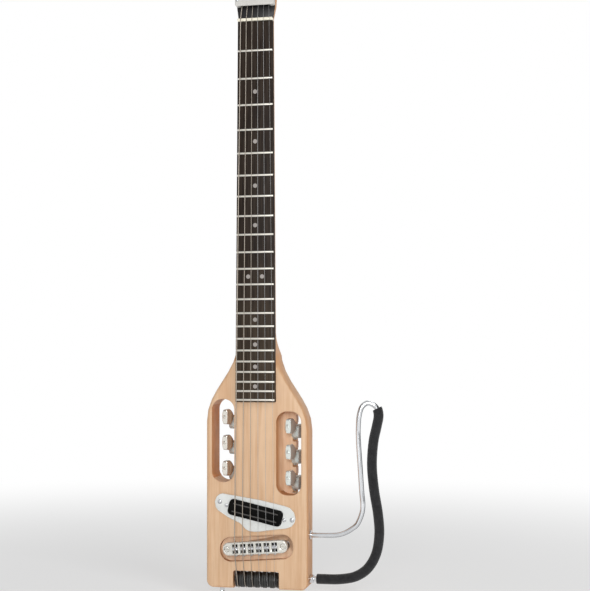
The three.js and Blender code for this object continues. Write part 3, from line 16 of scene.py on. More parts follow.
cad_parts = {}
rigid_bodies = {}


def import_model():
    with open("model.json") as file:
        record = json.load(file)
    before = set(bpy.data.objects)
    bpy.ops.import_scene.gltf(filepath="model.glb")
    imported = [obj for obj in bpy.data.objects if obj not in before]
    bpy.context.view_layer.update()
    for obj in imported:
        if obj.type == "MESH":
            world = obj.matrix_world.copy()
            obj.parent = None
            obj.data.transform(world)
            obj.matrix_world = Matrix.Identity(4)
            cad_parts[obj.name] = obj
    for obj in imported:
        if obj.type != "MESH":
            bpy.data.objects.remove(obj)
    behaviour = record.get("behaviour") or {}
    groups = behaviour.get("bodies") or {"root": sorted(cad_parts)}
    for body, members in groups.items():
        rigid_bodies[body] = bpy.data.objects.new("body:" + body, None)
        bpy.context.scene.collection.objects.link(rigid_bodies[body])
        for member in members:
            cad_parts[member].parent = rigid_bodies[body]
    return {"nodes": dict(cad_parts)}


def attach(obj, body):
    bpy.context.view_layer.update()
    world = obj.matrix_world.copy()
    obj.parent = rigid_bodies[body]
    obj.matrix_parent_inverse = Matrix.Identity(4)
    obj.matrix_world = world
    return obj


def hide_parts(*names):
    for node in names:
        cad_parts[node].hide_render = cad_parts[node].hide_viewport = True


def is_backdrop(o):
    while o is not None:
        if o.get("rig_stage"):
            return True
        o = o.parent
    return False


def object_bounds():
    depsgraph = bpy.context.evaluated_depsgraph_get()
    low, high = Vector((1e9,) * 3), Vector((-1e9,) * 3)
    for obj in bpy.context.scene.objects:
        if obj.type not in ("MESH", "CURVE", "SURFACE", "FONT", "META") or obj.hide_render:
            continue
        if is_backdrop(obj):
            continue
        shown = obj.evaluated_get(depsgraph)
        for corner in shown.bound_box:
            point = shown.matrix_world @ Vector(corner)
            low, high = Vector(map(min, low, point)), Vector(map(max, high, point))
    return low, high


LOG = logging.getLogger("travel_guitar")

Colour = tuple[float, float, float]
Triple = tuple[float, float, float]
Span = tuple[float, float]
Piece = bpy.types.Object
Socket = bpy.types.NodeSocket

# Sizes that several classes share, in millimetres and radians
MM = 0.001
BODY_THICKNESS = 35.0
BODY_SIDE = 62.3
SADDLES_TO_ORIGIN = 195.0
SCALE_LENGTH = 628.65
NUT_THICKNESS = 3.2
BRIDGE_TILT = math.radians(4.5)
BRIDGE_SPREAD = 48.2
ROLLER_AXLE = (10.3, -40.5)
ROLLER_MIDDLE = -0.6
ROLLER_SPREAD = 46.0
GROOVE_RADIUS = 9.0

# Strings from the bass side to the treble side
STRING_DIAMETERS = (1.17, 0.91, 0.66, 0.43, 0.33, 0.25)
STRING_COUNT = len(STRING_DIAMETERS)
WOUND_STRINGS = 3

# Degrees past which an edge stays crisp when a piece is shaded smooth
CRISP_RIM = 30.0
CRISP = 35.0
CRISP_CROWN = 40.0
CRISP_ROD = 50.0
CRISP_SOFT = 60.0

# Corners closer than this are merged, in metres, and flats within this angle made whole
CORNER_GAP = 0.000002
WIRE_CORNER_GAP = 0.0000001
FLAT_ANGLE = math.radians(0.6)


class Axis(Enum):
    """The way a turned piece points."""

    ACROSS = Vector((1.0, 0.0, 0.0))
    INTO = Vector((0.0, 1.0, 0.0))
    UP = Vector((0.0, 0.0, 1.0))


class Side(IntEnum):
    """A side of the centre line."""

    BASS = -1
    TREBLE = 1

    def word(self) -> str:
        """Gives the side's name as pieces carry it."""
        return self.name.lower()


def spot(across: float, into: float, up: float) -> Vector:
    """Gives a place on the guitar in metres.

    Args:
        across: millimetres to the treble side of the centre line.
        into: millimetres behind the front face of the body.
        up: millimetres from the saddles towards the head.

    Returns:
        The same place in the frame's own axes.
    """
    return Vector((across, into - BODY_THICKNESS, up - SADDLES_TO_ORIGIN)) * MM


def string_across(index: int, spread: float, middle: float = 0.0) -> float:
    """Gives a string's distance from the centre line, in millimetres.

    Args:
        index: the string, counted from the bass side.
        spread: the distance between the two outer strings.
        middle: the middle of the six.

    Returns:
        The distance, towards the treble side.
    """
    return middle + spread * (index + 0.5 - STRING_COUNT / 2) / (STRING_COUNT - 1)


# Modelling


def nothing_selected() -> None:
    """Leaves edit mode and deselects every object."""
    if bpy.context.mode != "OBJECT":
        bpy.ops.object.mode_set(mode="OBJECT")
    bpy.ops.object.select_all(action="DESELECT")


def only(obj: Piece) -> Piece:
    """Makes one object the only selected and the active one.

    Args:
        obj: the object.

    Returns:
        The same object.
    """
    nothing_selected()
    obj.select_set(True)
    bpy.context.view_layer.objects.active = obj
    return obj


@contextmanager
def opened(obj: Piece) -> Iterator[None]:
    """Opens a piece in edit mode with all of it selected, and closes it afterwards.

    Args:
        obj: the piece.

    Yields:
        Nothing, while the piece is open.
    """
    only(obj)
    bpy.ops.object.mode_set(mode="EDIT")
    bpy.ops.mesh.select_all(action="SELECT")
    yield
    bpy.ops.object.mode_set(mode="OBJECT")


def settle(obj: Piece) -> Piece:
    """Moves an object's place, turn and size into its mesh.

    Args:
        obj: the object.

    Returns:
        The same object.
    """
    only(obj)
    bpy.ops.object.transform_apply(location=True, rotation=True, scale=True)
    return obj


def aim(obj: Piece, start: Vector, axis: Vector) -> Piece:
    """Turns a piece made along Z to another axis and moves its foot there.

    Args:
        obj: the piece.
        start: where its foot goes, in metres.
        axis: the way it then points.

    Returns:
        The same piece, with its place in its mesh.
    """
    turn = axis.to_track_quat("Z", "Y").to_matrix().to_4x4()
    obj.matrix_world = Matrix.Translation(start) @ turn
    return settle(obj)


def tidy_mesh(obj: Piece, merge: float = CORNER_GAP) -> None:
    """Merges doubled corners and turns the faces outwards.

    Args:
        obj: the piece.
        merge: corners closer than this are merged, in metres.
    """
    with opened(obj):
        bpy.ops.mesh.remove_doubles(threshold=merge)
        bpy.ops.mesh.normals_make_consistent(inside=False)


def smooth(obj: Piece, degrees: float = CRISP) -> Piece:
    """Shades a piece smooth across edges flatter than an angle.

    Args:
        obj: the piece.
        degrees: the angle past which an edge stays crisp.

    Returns:
        The same piece.
    """
    only(obj)
    bpy.ops.object.shade_smooth_by_angle(angle=math.radians(degrees))
    return obj


def modified(obj: Piece, kind: str, **values: object) -> Piece:
    """Adds a modifier to a piece, sets it and applies it.

    Args:
        obj: the piece.
        kind: the modifier's type.
        **values: its settings by name.

    Returns:
        The same piece, with the change in its mesh.
    """
    only(obj)
    modifier = obj.modifiers.new(kind, kind)
    for key, value in values.items():
        setattr(modifier, key, value)
    bpy.ops.object.modifier_apply(modifier=modifier.name)
    return obj


def round_edges(obj: Piece, width: float, segments: int = 2, degrees: float = CRISP) -> Piece:
    """Rounds the sharp edges of a piece.

    Args:
        obj: the piece.
        width: the width of the rounding in millimetres.
        segments: faces across the rounding.
        degrees: edges sharper than this are rounded.

    Returns:
        The same piece, with the rounding in its mesh.
    """
    return modified(
        obj, "BEVEL", width=width * MM, segments=segments, limit_method="ANGLE",
        angle_limit=math.radians(degrees), use_clamp_overlap=True, harden_normals=False)


def cut(obj: Piece, cutter: Piece) -> None:
    """Cuts one piece out of another and removes it."""
    modified(obj, "BOOLEAN", operation="DIFFERENCE", object=cutter)
    bpy.data.objects.remove(cutter)


def turned(
    name: str, profile: Sequence[Span], start: Vector, axis: Vector, steps: int = 48,
    ring: bool = False,
) -> Piece:
    """Turns a profile round an axis, as on a lathe.

    Args:
        name: the piece's name.
        profile: pairs of radius and distance along the axis, in millimetres.
        start: where the profile's zero lies, in metres.
        axis: the way the profile runs.
        steps: faces round the piece.
        ring: whether the profile closes on itself round a bore.

    Returns:
        The finished piece, with its place in its mesh.
    """
    nothing_selected()
    radius, along = profile[0]
    bpy.ops.mesh.primitive_circle_add(
        vertices=steps, radius=radius * MM, fill_type="NOTHING" if ring else "NGON")
    obj = bpy.context.object
    obj.name = name
    extrude = bpy.ops.mesh.extrude_edges_move if ring else bpy.ops.mesh.extrude_region_move
    rest = [*profile[1:], profile[0]] if ring else profile[1:]
    with opened(obj):
        bpy.ops.transform.translate(value=(0, 0, along * MM))
        for next_radius, next_along in rest:
            extrude(TRANSFORM_OT_translate={"value": (0, 0, (next_along - along) * MM)})
            share = next_radius / radius
            bpy.ops.transform.resize(
                value=(share, share, 1), center_override=(0, 0, next_along * MM))
            radius, along = next_radius, next_along
    tidy_mesh(obj)
    return aim(obj, start, axis)


def block(
    name: str, size: Sequence[float], middle: Vector = Vector(), cuts: int = 0
) -> Piece:
    """Adds a box to be shaped further.

    Args:
        name: the piece's name.
        size: its three sizes, in metres.
        middle: its middle, in metres.
        cuts: how many cuts divide each of its edges.

    Returns:
        The box, with its place in its mesh.
    """
    nothing_selected()
    bpy.ops.mesh.primitive_cube_add(size=1, location=middle)
    obj = bpy.context.object
    obj.name = name
    if cuts:
        with opened(obj):
            bpy.ops.mesh.subdivide(number_cuts=cuts)
    obj.scale = size
    return settle(obj)


def wire(
    name: str, route: Sequence[Vector], radius: float, sides: int, caps: bool = True
) -> Piece:
    """Makes a round wire, rod or hose along a route.

    Args:
        name: the piece's name.
        route: points of its middle line, in metres.
        radius: its radius in millimetres.
        sides: faces round it, an even number.
        caps: whether its ends are closed.

    Returns:
        The piece as a mesh.
    """
    nothing_selected()
    bpy.ops.curve.primitive_bezier_curve_add(location=(0, 0, 0))
    curve = bpy.context.object.data
    curve.splines.clear()
    spline = curve.splines.new("POLY")
    spline.points.add(len(route) - 1)
    for point, place in zip(spline.points, route):
        point.co = (*place, 1.0)
    curve.dimensions = "3D"
    curve.twist_mode = "MINIMUM"
    curve.bevel_depth = radius * MM
    curve.bevel_resolution = sides // 2 - 2
    curve.use_fill_caps = caps
    bpy.ops.object.convert(target="MESH")
    obj = bpy.context.object
    obj.name = name
    obj.data.name = name
    tidy_mesh(obj, WIRE_CORNER_GAP)
    return obj


def joined(name: str, pieces: Sequence[Piece]) -> Piece:
    """Joins pieces that share a finish and a body into one.

    Args:
        name: the name of the whole.
        pieces: two pieces or more.

    Returns:
        The one piece.
    """
    only(pieces[0])
    for piece in pieces:
        piece.select_set(True)
    bpy.ops.object.join()
    obj = bpy.context.object
    obj.name = name
    return obj


def copied(node: Piece, name: str) -> Piece:
    """Copies a CAD node into a mesh of its own, with its corners merged and flats made whole.

    Args:
        node: the CAD node.
        name: the copy's name.

    Returns:
        The copy.
    """
    only(node)
    bpy.ops.object.duplicate(linked=False)
    obj = bpy.context.object
    obj.parent = None
    for key in [key for key in obj.keys() if key.startswith("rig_")]:
        del obj[key]
    obj.name = name
    tidy_mesh(obj)
    with opened(obj):
        bpy.ops.mesh.dissolve_limited(angle_limit=FLAT_ANGLE)
    return obj


def lengths_along(route: Sequence[Vector]) -> list[float]:
    """Measures how far each point of a route lies from its start.

    Args:
        route: the points.

    Returns:
        One length for each point.
    """
    lengths = [0.0]
    for before, after in zip(route, route[1:]):
        lengths.append(lengths[-1] + (after - before).length)
    return lengths


# Shader groups and finishes

WHITE = (1.0, 1.0, 1.0)

# What a Wave Texture node multiplies a place by before it takes the sine
WAVE_RADIANS = 20

# The sockets of a Mix node that mixes colours: its two colours and its result
MIX_COLOURS = (6, 7)
MIX_RESULT = 2


class Slot(Enum):
    """The CAD's material slots."""

    MAPLE = "maple"
    DARK_WOOD = "dark_wood"
    CHROME = "chrome"
    STEEL = "plain_steel"
    WHITE = "white_plastic"
    IVORY = "ivory_plastic"
    BLACK = "black_plastic"
    FOAM = "foam_rubber"
    WIRE = "string_wire"


class Kind(Enum):
    """What a socket of a shader group carries."""

    NUMBER = "NodeSocketFloat"
    VECTOR = "NodeSocketVector"


def linear(red: int, green: int, blue: int) -> Colour:
    """Turns a colour as seen on a screen, 0 to 255, into the light it stands for.

    Args:
        red: its red.
        green: its green.
        blue: its blue.

    Returns:
        The light in red, green and blue.
    """
    toe, slope, lift, power = 0.04045, 12.92, 0.055, 2.4
    shares = [value / 255 for value in (red, green, blue)]
    return tuple(
        share / slope if share <= toe else ((share + lift) / (1 + lift)) ** power
        for share in shares)


def scaled(colour: Colour, by: float) -> Colour:
    """Makes a colour lighter or darker, white at most."""
    return tuple(min(1.0, by * part) for part in colour)


def grey(level: float) -> Colour:
    """Gives a grey."""
    return level, level, level


class Nodes:
    """A node tree that is filled node by node."""

    def __init__(self, tree: bpy.types.NodeTree) -> None:
        """Keeps the tree."""
        self.tree = tree

    def put(self, value: object, socket: Socket) -> None:
        """Links a socket to another, or gives it a value of its own.

        Args:
            value: the other socket or the value.
            socket: the socket that takes it.
        """
        if isinstance(value, Socket):
            self.tree.links.new(value, socket)
        else:
            socket.default_value = value

    def add(self, kind: str, *values: object, **named: object) -> bpy.types.Node:
        """Adds a node and sets its properties and sockets.

        Args:
            kind: the node's type without its ShaderNode prefix.
            *values: sockets or values for its first inputs, in order.
            **named: the same by the input's name, with _ for a space, or properties.

        Returns:
            The node.
        """
        node = self.tree.nodes.new(kind if kind.startswith("Node") else "ShaderNode" + kind)
        for key, value in named.items():
            socket = node.inputs.get(key.replace("_", " "))
            if socket is None:
                setattr(node, key, value)
            else:
                self.put(value, socket)
        for value, socket in zip(values, node.inputs):
            self.put(value, socket)
        return node

    def here(self) -> Socket:
        """Gives the place on the piece."""
        return self.add("TexCoord").outputs["Object"]

    def stretched(self, by: Triple) -> Socket:
        """Gives the place on the piece with each axis stretched or flattened."""
        return self.add("VectorMath", self.here(), by, operation="MULTIPLY").outputs[0]

    def apart(self, vector: Socket) -> bpy.types.NodeOutputs:
        """Splits a vector into X, Y and Z."""
        return self.add("SeparateXYZ", vector).outputs

    def facing(self) -> Socket:
        """Gives the true normal of the surface."""
        return self.add("NewGeometry").outputs["Normal"]

    def calculate(self, operation: str, *values: Socket | float) -> Socket:
        """Adds a step of arithmetic."""
        return self.add("Math", *values, operation=operation).outputs[0]

    def remap(self, value: Socket, *spans: Socket | float, **named: object) -> Socket:
        """Maps one span, low and high, onto another, 0 to 1 where none is given."""
        return self.add("MapRange", value, *spans, **named).outputs["Result"]

    def noise(self, place: Socket, scale: Socket | float, **named: float) -> Socket:
        """Adds a cloudy pattern."""
        return self.add("TexNoise", Vector=place, Scale=scale, **named).outputs["Fac"]

    def ramp(self, source: Socket, *stops: tuple[float, Colour]) -> Socket:
        """Adds a colour ramp.

        Args:
            source: the value that it reads.
            *stops: places and colours, in order.

        Returns:
            The ramp's colour.
        """
        node = self.add("ValToRGB", source)
        band = node.color_ramp.elements
        for place, colour in stops[len(band):]:
            band.new(place)
        for element, (place, colour) in zip(band, stops):
            element.position = place
            element.color = (*colour, 1.0)
        return node.outputs["Color"]

    def mix(
        self, factor: Socket | float, first: Socket | Colour, second: Socket | Colour,
        blend: str = "MIX",
    ) -> Socket:
        """Mixes two colours.

        Args:
            factor: how much of the second shows.
            first: a colour or a socket.
            second: a colour or a socket.
            blend: the way they mix.

        Returns:
            The mixed colour.
        """
        node = self.add("Mix", factor, data_type="RGBA", blend_type=blend)
        for place, value in zip(MIX_COLOURS, (first, second)):
            self.put(value if isinstance(value, Socket) else (*value, 1.0), node.inputs[place])
        return node.outputs[MIX_RESULT]

    def tinted(self, colour: Socket, tint: Socket | Colour) -> Socket:
        """Multiplies a colour by a tint."""
        return self.mix(1.0, colour, tint, "MULTIPLY")


class Group(Nodes):
    """A shader group that is filled node by node."""

    def __init__(self, name: str, inputs: dict[str, float], outputs: dict[str, Kind]) -> None:
        """Starts the group with its sockets.

        Args:
            name: the group's name.
            inputs: the numbers that it takes, with their first values.
            outputs: what it puts out.
        """
        super().__init__(bpy.data.node_groups.new(name, "ShaderNodeTree"))
        sockets = self.tree.interface
        for label, value in inputs.items():
            socket = sockets.new_socket(label, in_out="INPUT", socket_type=Kind.NUMBER.value)
            socket.default_value = value
        for label, kind in outputs.items():
            sockets.new_socket(label, in_out="OUTPUT", socket_type=kind.value)
        self.taken = self.add("NodeGroupInput").outputs

    def closed(self, **results: Socket) -> bpy.types.NodeTree:
        """Puts out the results, by name with _ for a space, and gives the group's tree."""
        self.add("NodeGroupOutput", **results)
        return self.tree


@dataclass
class Groups:
    """The shader groups, each made once, with the sizes of their patterns."""

    band_scale: float = 240.0
    band_stretch: Triple = (1.0, 1.0, 0.045)
    pore_scale: float = 2600.0
    pore_stretch: Triple = (1.0, 1.0, 0.03)
    pore_edge: Span = (0.6, 0.75)
    figure_scale: float = 22.0
    cloud_edge: Span = (0.35, 0.65)
    edge_turn: Span = (1.0, 0.8)
    bevel_samples: int = 6

    def __post_init__(self) -> None:
        """Makes every group."""
        self.grain = self.long_grain()
        self.touch = self.handling()
        self.edges = self.soft_edges()

    def long_grain(self) -> bpy.types.NodeTree:
        """Makes long wood grain with pores, along the neck.

        Returns:
            The group.
        """
        group = Group("long grain", {"Width": 1.0, "Pores": 0.5}, {
            "Bands": Kind.NUMBER, "Pore Mask": Kind.NUMBER, "Figure": Kind.NUMBER})
        width = group.calculate("MULTIPLY", group.taken["Width"], self.band_scale)
        bands = group.noise(
            group.stretched(self.band_stretch), width, Detail=5.0, Roughness=0.55, Distortion=0.5)
        pores = group.noise(
            group.stretched(self.pore_stretch), self.pore_scale, Detail=2.0, Roughness=0.6)
        gate = group.remap(pores, *self.pore_edge)
        figure = group.noise(
            group.here(), self.figure_scale, Detail=3.0, Roughness=0.5, Distortion=1.2)
        return group.closed(
            Bands=bands, Figure=figure,
            Pore_Mask=group.calculate("MULTIPLY", gate, group.taken["Pores"]))

    def handling(self) -> bpy.types.NodeTree:
        """Makes the uneven sheen that handling and dust leave.

        Returns:
            The group.
        """
        group = Group("handling", {"Size": 60.0, "Low": 0.2, "High": 0.35}, {
            "Roughness": Kind.NUMBER, "Mask": Kind.NUMBER})
        cloud = group.noise(group.here(), group.taken["Size"], Detail=5.0, Roughness=0.6)
        level = group.remap(cloud, *self.cloud_edge, group.taken["Low"], group.taken["High"])
        return group.closed(Roughness=level, Mask=cloud)

    def soft_edges(self) -> bpy.types.NodeTree:
        """Makes softened edges and finds the line along them, where finishes lighten their colour.

        Returns:
            The group.
        """
        group = Group("soft edges", {"Radius": 0.0005}, {
            "Normal": Kind.VECTOR, "Edge": Kind.NUMBER})
        soft = group.add("Bevel", group.taken["Radius"], samples=self.bevel_samples).outputs[0]
        same = group.add("VectorMath", soft, group.facing(), operation="DOT_PRODUCT")
        return group.closed(
            Normal=soft, Edge=group.remap(same.outputs["Value"], *self.edge_turn))


class Surface(Nodes):
    """A material that is filled node by node, with its shader."""

    def __init__(self, name: str) -> None:
        """Starts an empty material.

        Args:
            name: the material's name.
        """
        self.material = bpy.data.materials.new(name)
        self.material.use_nodes = True
        super().__init__(self.material.node_tree)
        self.tree.nodes.clear()
        self.shader = self.add("BsdfPrincipled")
        self.result = self.add("OutputMaterial", self.shader.outputs[0])

    def feed(self, **values: object) -> None:
        """Links or sets the shader's own sockets, by name with _ for a space."""
        for key, value in values.items():
            self.put(value, self.shader.inputs[key.replace("_", " ")])

    def handled(self, groups: Groups, size: float, low: float, high: float) -> Socket:
        """Gives the surface the uneven sheen of handling.

        Args:
            groups: the shader groups.
            size: how fine the marks are.
            low: the least roughness.
            high: the greatest roughness.

        Returns:
            The mask of the marks.
        """
        touch = self.add("Group", node_tree=groups.touch, Size=size, Low=low, High=high)
        self.feed(Roughness=touch.outputs["Roughness"])
        return touch.outputs["Mask"]

    def edged(self, groups: Groups, radius: float) -> tuple[Socket, Socket]:
        """Softens the edges.

        Args:
            groups: the shader groups.
            radius: the radius of the softening, in metres.

        Returns:
            The softened normal and the mask of the edges.
        """
        edges = self.add("Group", node_tree=groups.edges, Radius=radius)
        return edges.outputs["Normal"], edges.outputs["Edge"]

    def bump(
        self, height: Socket, distance: float, strength: float, under: Socket | None = None
    ) -> None:
        """Raises the surface by a height, over another normal where one is given.

        Args:
            height: the height, 0 to 1.
            distance: how far 1 raises it, in metres.
            strength: how much of that shows.
            under: the normal below.
        """
        node = self.add("Bump", Height=height, Distance=distance, Strength=strength)
        if under is not None:
            self.put(under, node.inputs["Normal"])
        self.feed(Normal=node.outputs["Normal"])


@dataclass(frozen=True)
class Finish:
    """One finish: its name and the slot that it stands in."""

    name: str
    slot: Slot


@dataclass(frozen=True)
class Hollow:
    """A hollow in the wood, in metres, whose sides get painted shade and whose floor can get
    painted light.
    """

    across: Span
    deep: Span
    up: Span
    wall_shade: Colour
    # Painted light on the floor, as a tint; white leaves it as it is.
    floor: Colour = WHITE

    def inside(self, surface: Surface, place: bpy.types.NodeOutputs) -> Socket:
        """Finds the points inside the hollow.

        Args:
            surface: the material.
            place: X, Y and Z of the place on the piece.

        Returns:
            One inside the hollow and zero elsewhere.
        """
        across, deep, up = (
            surface.calculate("COMPARE", place[way], (low + high) / 2, (high - low) / 2)
            for way, (low, high) in (("X", self.across), ("Y", self.deep), ("Z", self.up)))
        return surface.calculate("MULTIPLY", surface.calculate("MULTIPLY", across, deep), up)


@dataclass(frozen=True)
class Wood(Finish):
    """Wood with its grain along the neck."""

    light: Colour
    dark: Colour
    # Tint of the faces turned sideways: painted shade, darker and warmer, less of it on faces
    # turned up.
    cut: Colour
    pore: Colour
    pore_share: float
    width: float
    roughness: Span
    coat: float
    edge_radius: float
    gloss: float
    # Painted highlight along the rounded edges, as a tint.
    painted_edge_highlight: Colour = WHITE
    hollows: tuple[Hollow, ...] = ()
    # Tint that makes the wood paler towards the body end, over the span of heights below.
    worn: Colour | None = None
    pale_span: Span = (0.16, -0.02)
    mark_size: float = 35.0
    band_places: Span = (0.3, 0.62)
    figure_places: Span = (0.35, 0.65)
    figure_dark: Colour = (0.95, 0.94, 0.93)
    figure_share: float = 0.8
    side_span: Span = (0.9, 0.2)
    upward_span: Span = (0.1, 0.6)
    upward_shares: Span = (1.0, 0.35)
    coat_roughness: float = 0.25
    relief: float = 0.00006
    relief_strength: float = 0.6

    def make(self, groups: Groups) -> bpy.types.Material:
        """Makes the material.

        Args:
            groups: the shader groups.

        Returns:
            The material.
        """
        surface = Surface(self.name)
        grain = surface.add(
            "Group", node_tree=groups.grain, Width=self.width, Pores=self.pore_share).outputs
        surface.handled(groups, self.mark_size, *self.roughness)
        normal, edge = surface.edged(groups, self.edge_radius)
        bands = surface.ramp(grain["Bands"], *zip(self.band_places, (self.dark, self.light)))
        figure = surface.ramp(
            grain["Figure"], *zip(self.figure_places, (self.figure_dark, WHITE)))
        figured = surface.mix(self.figure_share, bands, figure, "MULTIPLY")
        facing = surface.apart(surface.facing())
        # Painted shade: faces turned sideways take the side tint, less where they turn up.
        side = surface.remap(surface.calculate("ABSOLUTE", facing["Y"]), *self.side_span)
        upward = surface.remap(facing["Z"], *self.upward_span, *self.upward_shares)
        side_shade_mask = surface.calculate("MULTIPLY", side, upward)
        colour = surface.mix(side_shade_mask, figured, surface.tinted(figured, self.cut))
        # Painted highlight along the rounded edges.
        colour = surface.mix(edge, colour, surface.tinted(colour, self.painted_edge_highlight))
        place = surface.apart(surface.here())
        # Painted shade on the sides of each hollow and painted light on its floor.
        for hollow in self.hollows:
            inside = hollow.inside(surface, place)
            tint = surface.mix(side, hollow.floor, hollow.wall_shade)
            colour = surface.mix(inside, colour, surface.tinted(figured, tint))
            normal = surface.mix(inside, normal, surface.facing())
        colour = surface.mix(grain["Pore Mask"], colour, self.pore)
        # Paler towards the body end.
        if self.worn is not None:
            low = surface.remap(place["Z"], *self.pale_span)
            colour = surface.mix(low, colour, surface.tinted(colour, self.worn))
        surface.feed(
            Base_Color=colour, Coat_Weight=self.coat, Coat_Roughness=self.coat_roughness,
            Specular_IOR_Level=self.gloss)
        surface.bump(grain["Bands"], self.relief, self.relief_strength, normal)
        return surface.material


@dataclass(frozen=True)
class Metal(Finish):
    """Plated or plain metal with faint smears, and brushing where it has some."""

    colour: Colour
    roughness: Span
    brushed: float = 0.0
    edge_radius: float = 0.0003
    metal: float = 1.0
    mark_size: float = 90.0
    mark_places: Span = (0.3, 0.6)
    mark_shade: float = 0.93
    edge_shade: float = 1.1
    brush_scale: float = 5000.0
    brush_stretch: Triple = (0.02, 1.0, 1.0)
    brush_relief: float = 0.00001

    def make(self, groups: Groups) -> bpy.types.Material:
        """Makes the material.

        Args:
            groups: the shader groups.

        Returns:
            The material.
        """
        surface = Surface(self.name)
        marks = surface.handled(groups, self.mark_size, *self.roughness)
        normal, edge = surface.edged(groups, self.edge_radius)
        shade = scaled(self.colour, self.mark_shade)
        worn = surface.ramp(marks, *zip(self.mark_places, (shade, self.colour)))
        surface.feed(
            Base_Color=surface.mix(edge, worn, scaled(self.colour, self.edge_shade)),
            Metallic=self.metal)
        lines = surface.noise(
            surface.stretched(self.brush_stretch), self.brush_scale, Detail=2.0)
        surface.bump(lines, self.brush_relief, self.brushed, normal)
        return surface.material


@dataclass(frozen=True)
class Plastic(Finish):
    """Moulded plastic or bone with a faint grain and soft edges."""

    colour: Colour
    roughness: Span
    coat: float = 0.0
    vary: float = 0.9
    gloss: float = 0.5
    edge_radius: float = 0.0004
    edge_lift: float = 0.04
    mark_size: float = 70.0
    mark_places: Span = (0.3, 0.65)
    coat_roughness: float = 0.08
    grain_scale: float = 2200.0
    grain_relief: float = 0.00001
    grain_strength: float = 0.5

    def shaded(self, surface: Surface, colour: Socket) -> Socket:
        """Changes the colour where a kind of plastic needs it; here nowhere."""
        return colour

    def make(self, groups: Groups) -> bpy.types.Material:
        """Makes the material.

        Args:
            groups: the shader groups.

        Returns:
            The material.
        """
        surface = Surface(self.name)
        marks = surface.handled(groups, self.mark_size, *self.roughness)
        normal, edge = surface.edged(groups, self.edge_radius)
        shade = scaled(self.colour, self.vary)
        worn = surface.ramp(marks, *zip(self.mark_places, (shade, self.colour)))
        lighter = tuple(part + self.edge_lift for part in self.colour)
        surface.feed(
            Base_Color=self.shaded(surface, surface.mix(edge, worn, lighter)),
            Coat_Weight=self.coat, Coat_Roughness=self.coat_roughness,
            Specular_IOR_Level=self.gloss)
        skin = surface.noise(surface.here(), self.grain_scale, Detail=2.0)
        surface.bump(skin, self.grain_relief, self.grain_strength, normal)
        return surface.material


@dataclass(frozen=True)
class RollerPlastic(Plastic):
    """Roller plastic, with painted shade in the grooves and at the ends, the rims left lighter."""

    groove_shade_radii: Span = (0.0091, 0.0099)
    painted_groove_shade: float = 0.12

    def shaded(self, surface: Surface, colour: Socket) -> Socket:
        """Darkens the grooves and the ends with painted shade.

        Args:
            surface: the material.
            colour: the colour of the rims.

        Returns:
            The colour all over.
        """
        place = surface.stretched((0.0, 1.0, 1.0))
        out = surface.add("VectorMath", place, spot(0, *ROLLER_AXLE), operation="DISTANCE")
        rim = surface.remap(out.outputs["Value"], *self.groove_shade_radii)
        return surface.mix(rim, surface.tinted(colour, grey(self.painted_groove_shade)), colour)


@dataclass(frozen=True)
class Foam(Finish):
    """Closed-cell foam: matt, black and full of small cells."""

    colour: Colour
    cell: float
    roughness: Span = (0.82, 0.97)
    mark_size: float = 120.0
    lump_cells: float = 4.0
    dust_places: Span = (0.35, 0.75)
    dust_shade: float = 1.9
    sheen: float = 0.25
    sheen_roughness: float = 0.5
    relief: float = 0.00025
    relief_strength: float = 0.7

    def make(self, groups: Groups) -> bpy.types.Material:
        """Makes the material.

        Args:
            groups: the shader groups.

        Returns:
            The material.
        """
        surface = Surface(self.name)
        surface.handled(groups, self.mark_size, *self.roughness)
        cells = surface.add("TexVoronoi", Vector=surface.here(), Scale=1 / self.cell)
        lump = surface.noise(surface.here(), 1 / (self.lump_cells * self.cell), Detail=3.0)
        pale = scaled(self.colour, self.dust_shade)
        surface.feed(
            Base_Color=surface.ramp(lump, *zip(self.dust_places, (self.colour, pale))),
            Sheen_Weight=self.sheen, Sheen_Roughness=self.sheen_roughness)
        height = surface.calculate("ADD", cells.outputs["Distance"], lump)
        surface.bump(height, self.relief, self.relief_strength)
        return surface.material


@dataclass(frozen=True)
class StringWire(Finish):
    """String wire, with the turns of its wrap where it is wound."""

    colour: Colour
    valley: Colour
    turn: float
    metal: float = 0.65
    roughness: Span = (0.4, 0.5)
    mark_size: float = 60.0
    wrap_places: Span = (0.1, 0.55)
    relief: float = 0.00005
    relief_strength: float = 0.2

    def make(self, groups: Groups) -> bpy.types.Material:
        """Makes the material.

        Args:
            groups: the shader groups.

        Returns:
            The material.
        """
        surface = Surface(self.name)
        surface.handled(groups, self.mark_size, *self.roughness)
        along = surface.add("UVMap", uv_map="Along").outputs["UV"]
        wave = surface.add(
            "TexWave", wave_type="BANDS", bands_direction="X", wave_profile="SIN",
            Vector=along, Scale=2 * math.pi / (WAVE_RADIANS * self.turn), Distortion=0.0
        ).outputs["Fac"]
        surface.feed(
            Base_Color=surface.ramp(wave, *zip(self.wrap_places, (self.valley, self.colour))),
            Metallic=self.metal)
        surface.bump(wave, self.relief, self.relief_strength)
        return surface.material


# Painted shade on the sides of the bass slot, the treble recess and the bridge pocket, and painted
# light on the floors of the last two.
BASS_SLOT = Hollow(
    across=(-0.0575, -0.034), deep=(-0.045, 0.005), up=(-0.113, -0.025),
    wall_shade=(0.84, 0.45, 0.11))
TREBLE_RECESS = Hollow(
    across=(0.022, 0.056), deep=(-0.033, -0.012), up=(-0.1335, -0.031),
    wall_shade=(0.74, 0.49, 0.31), floor=(1.24, 1.31, 1.42))
BRIDGE_POCKET = Hollow(
    across=(-0.046, 0.046), deep=(-0.0344, -0.026), up=(-0.2155, -0.178),
    wall_shade=(0.66, 0.42, 0.26), floor=(1.26, 1.33, 1.45))


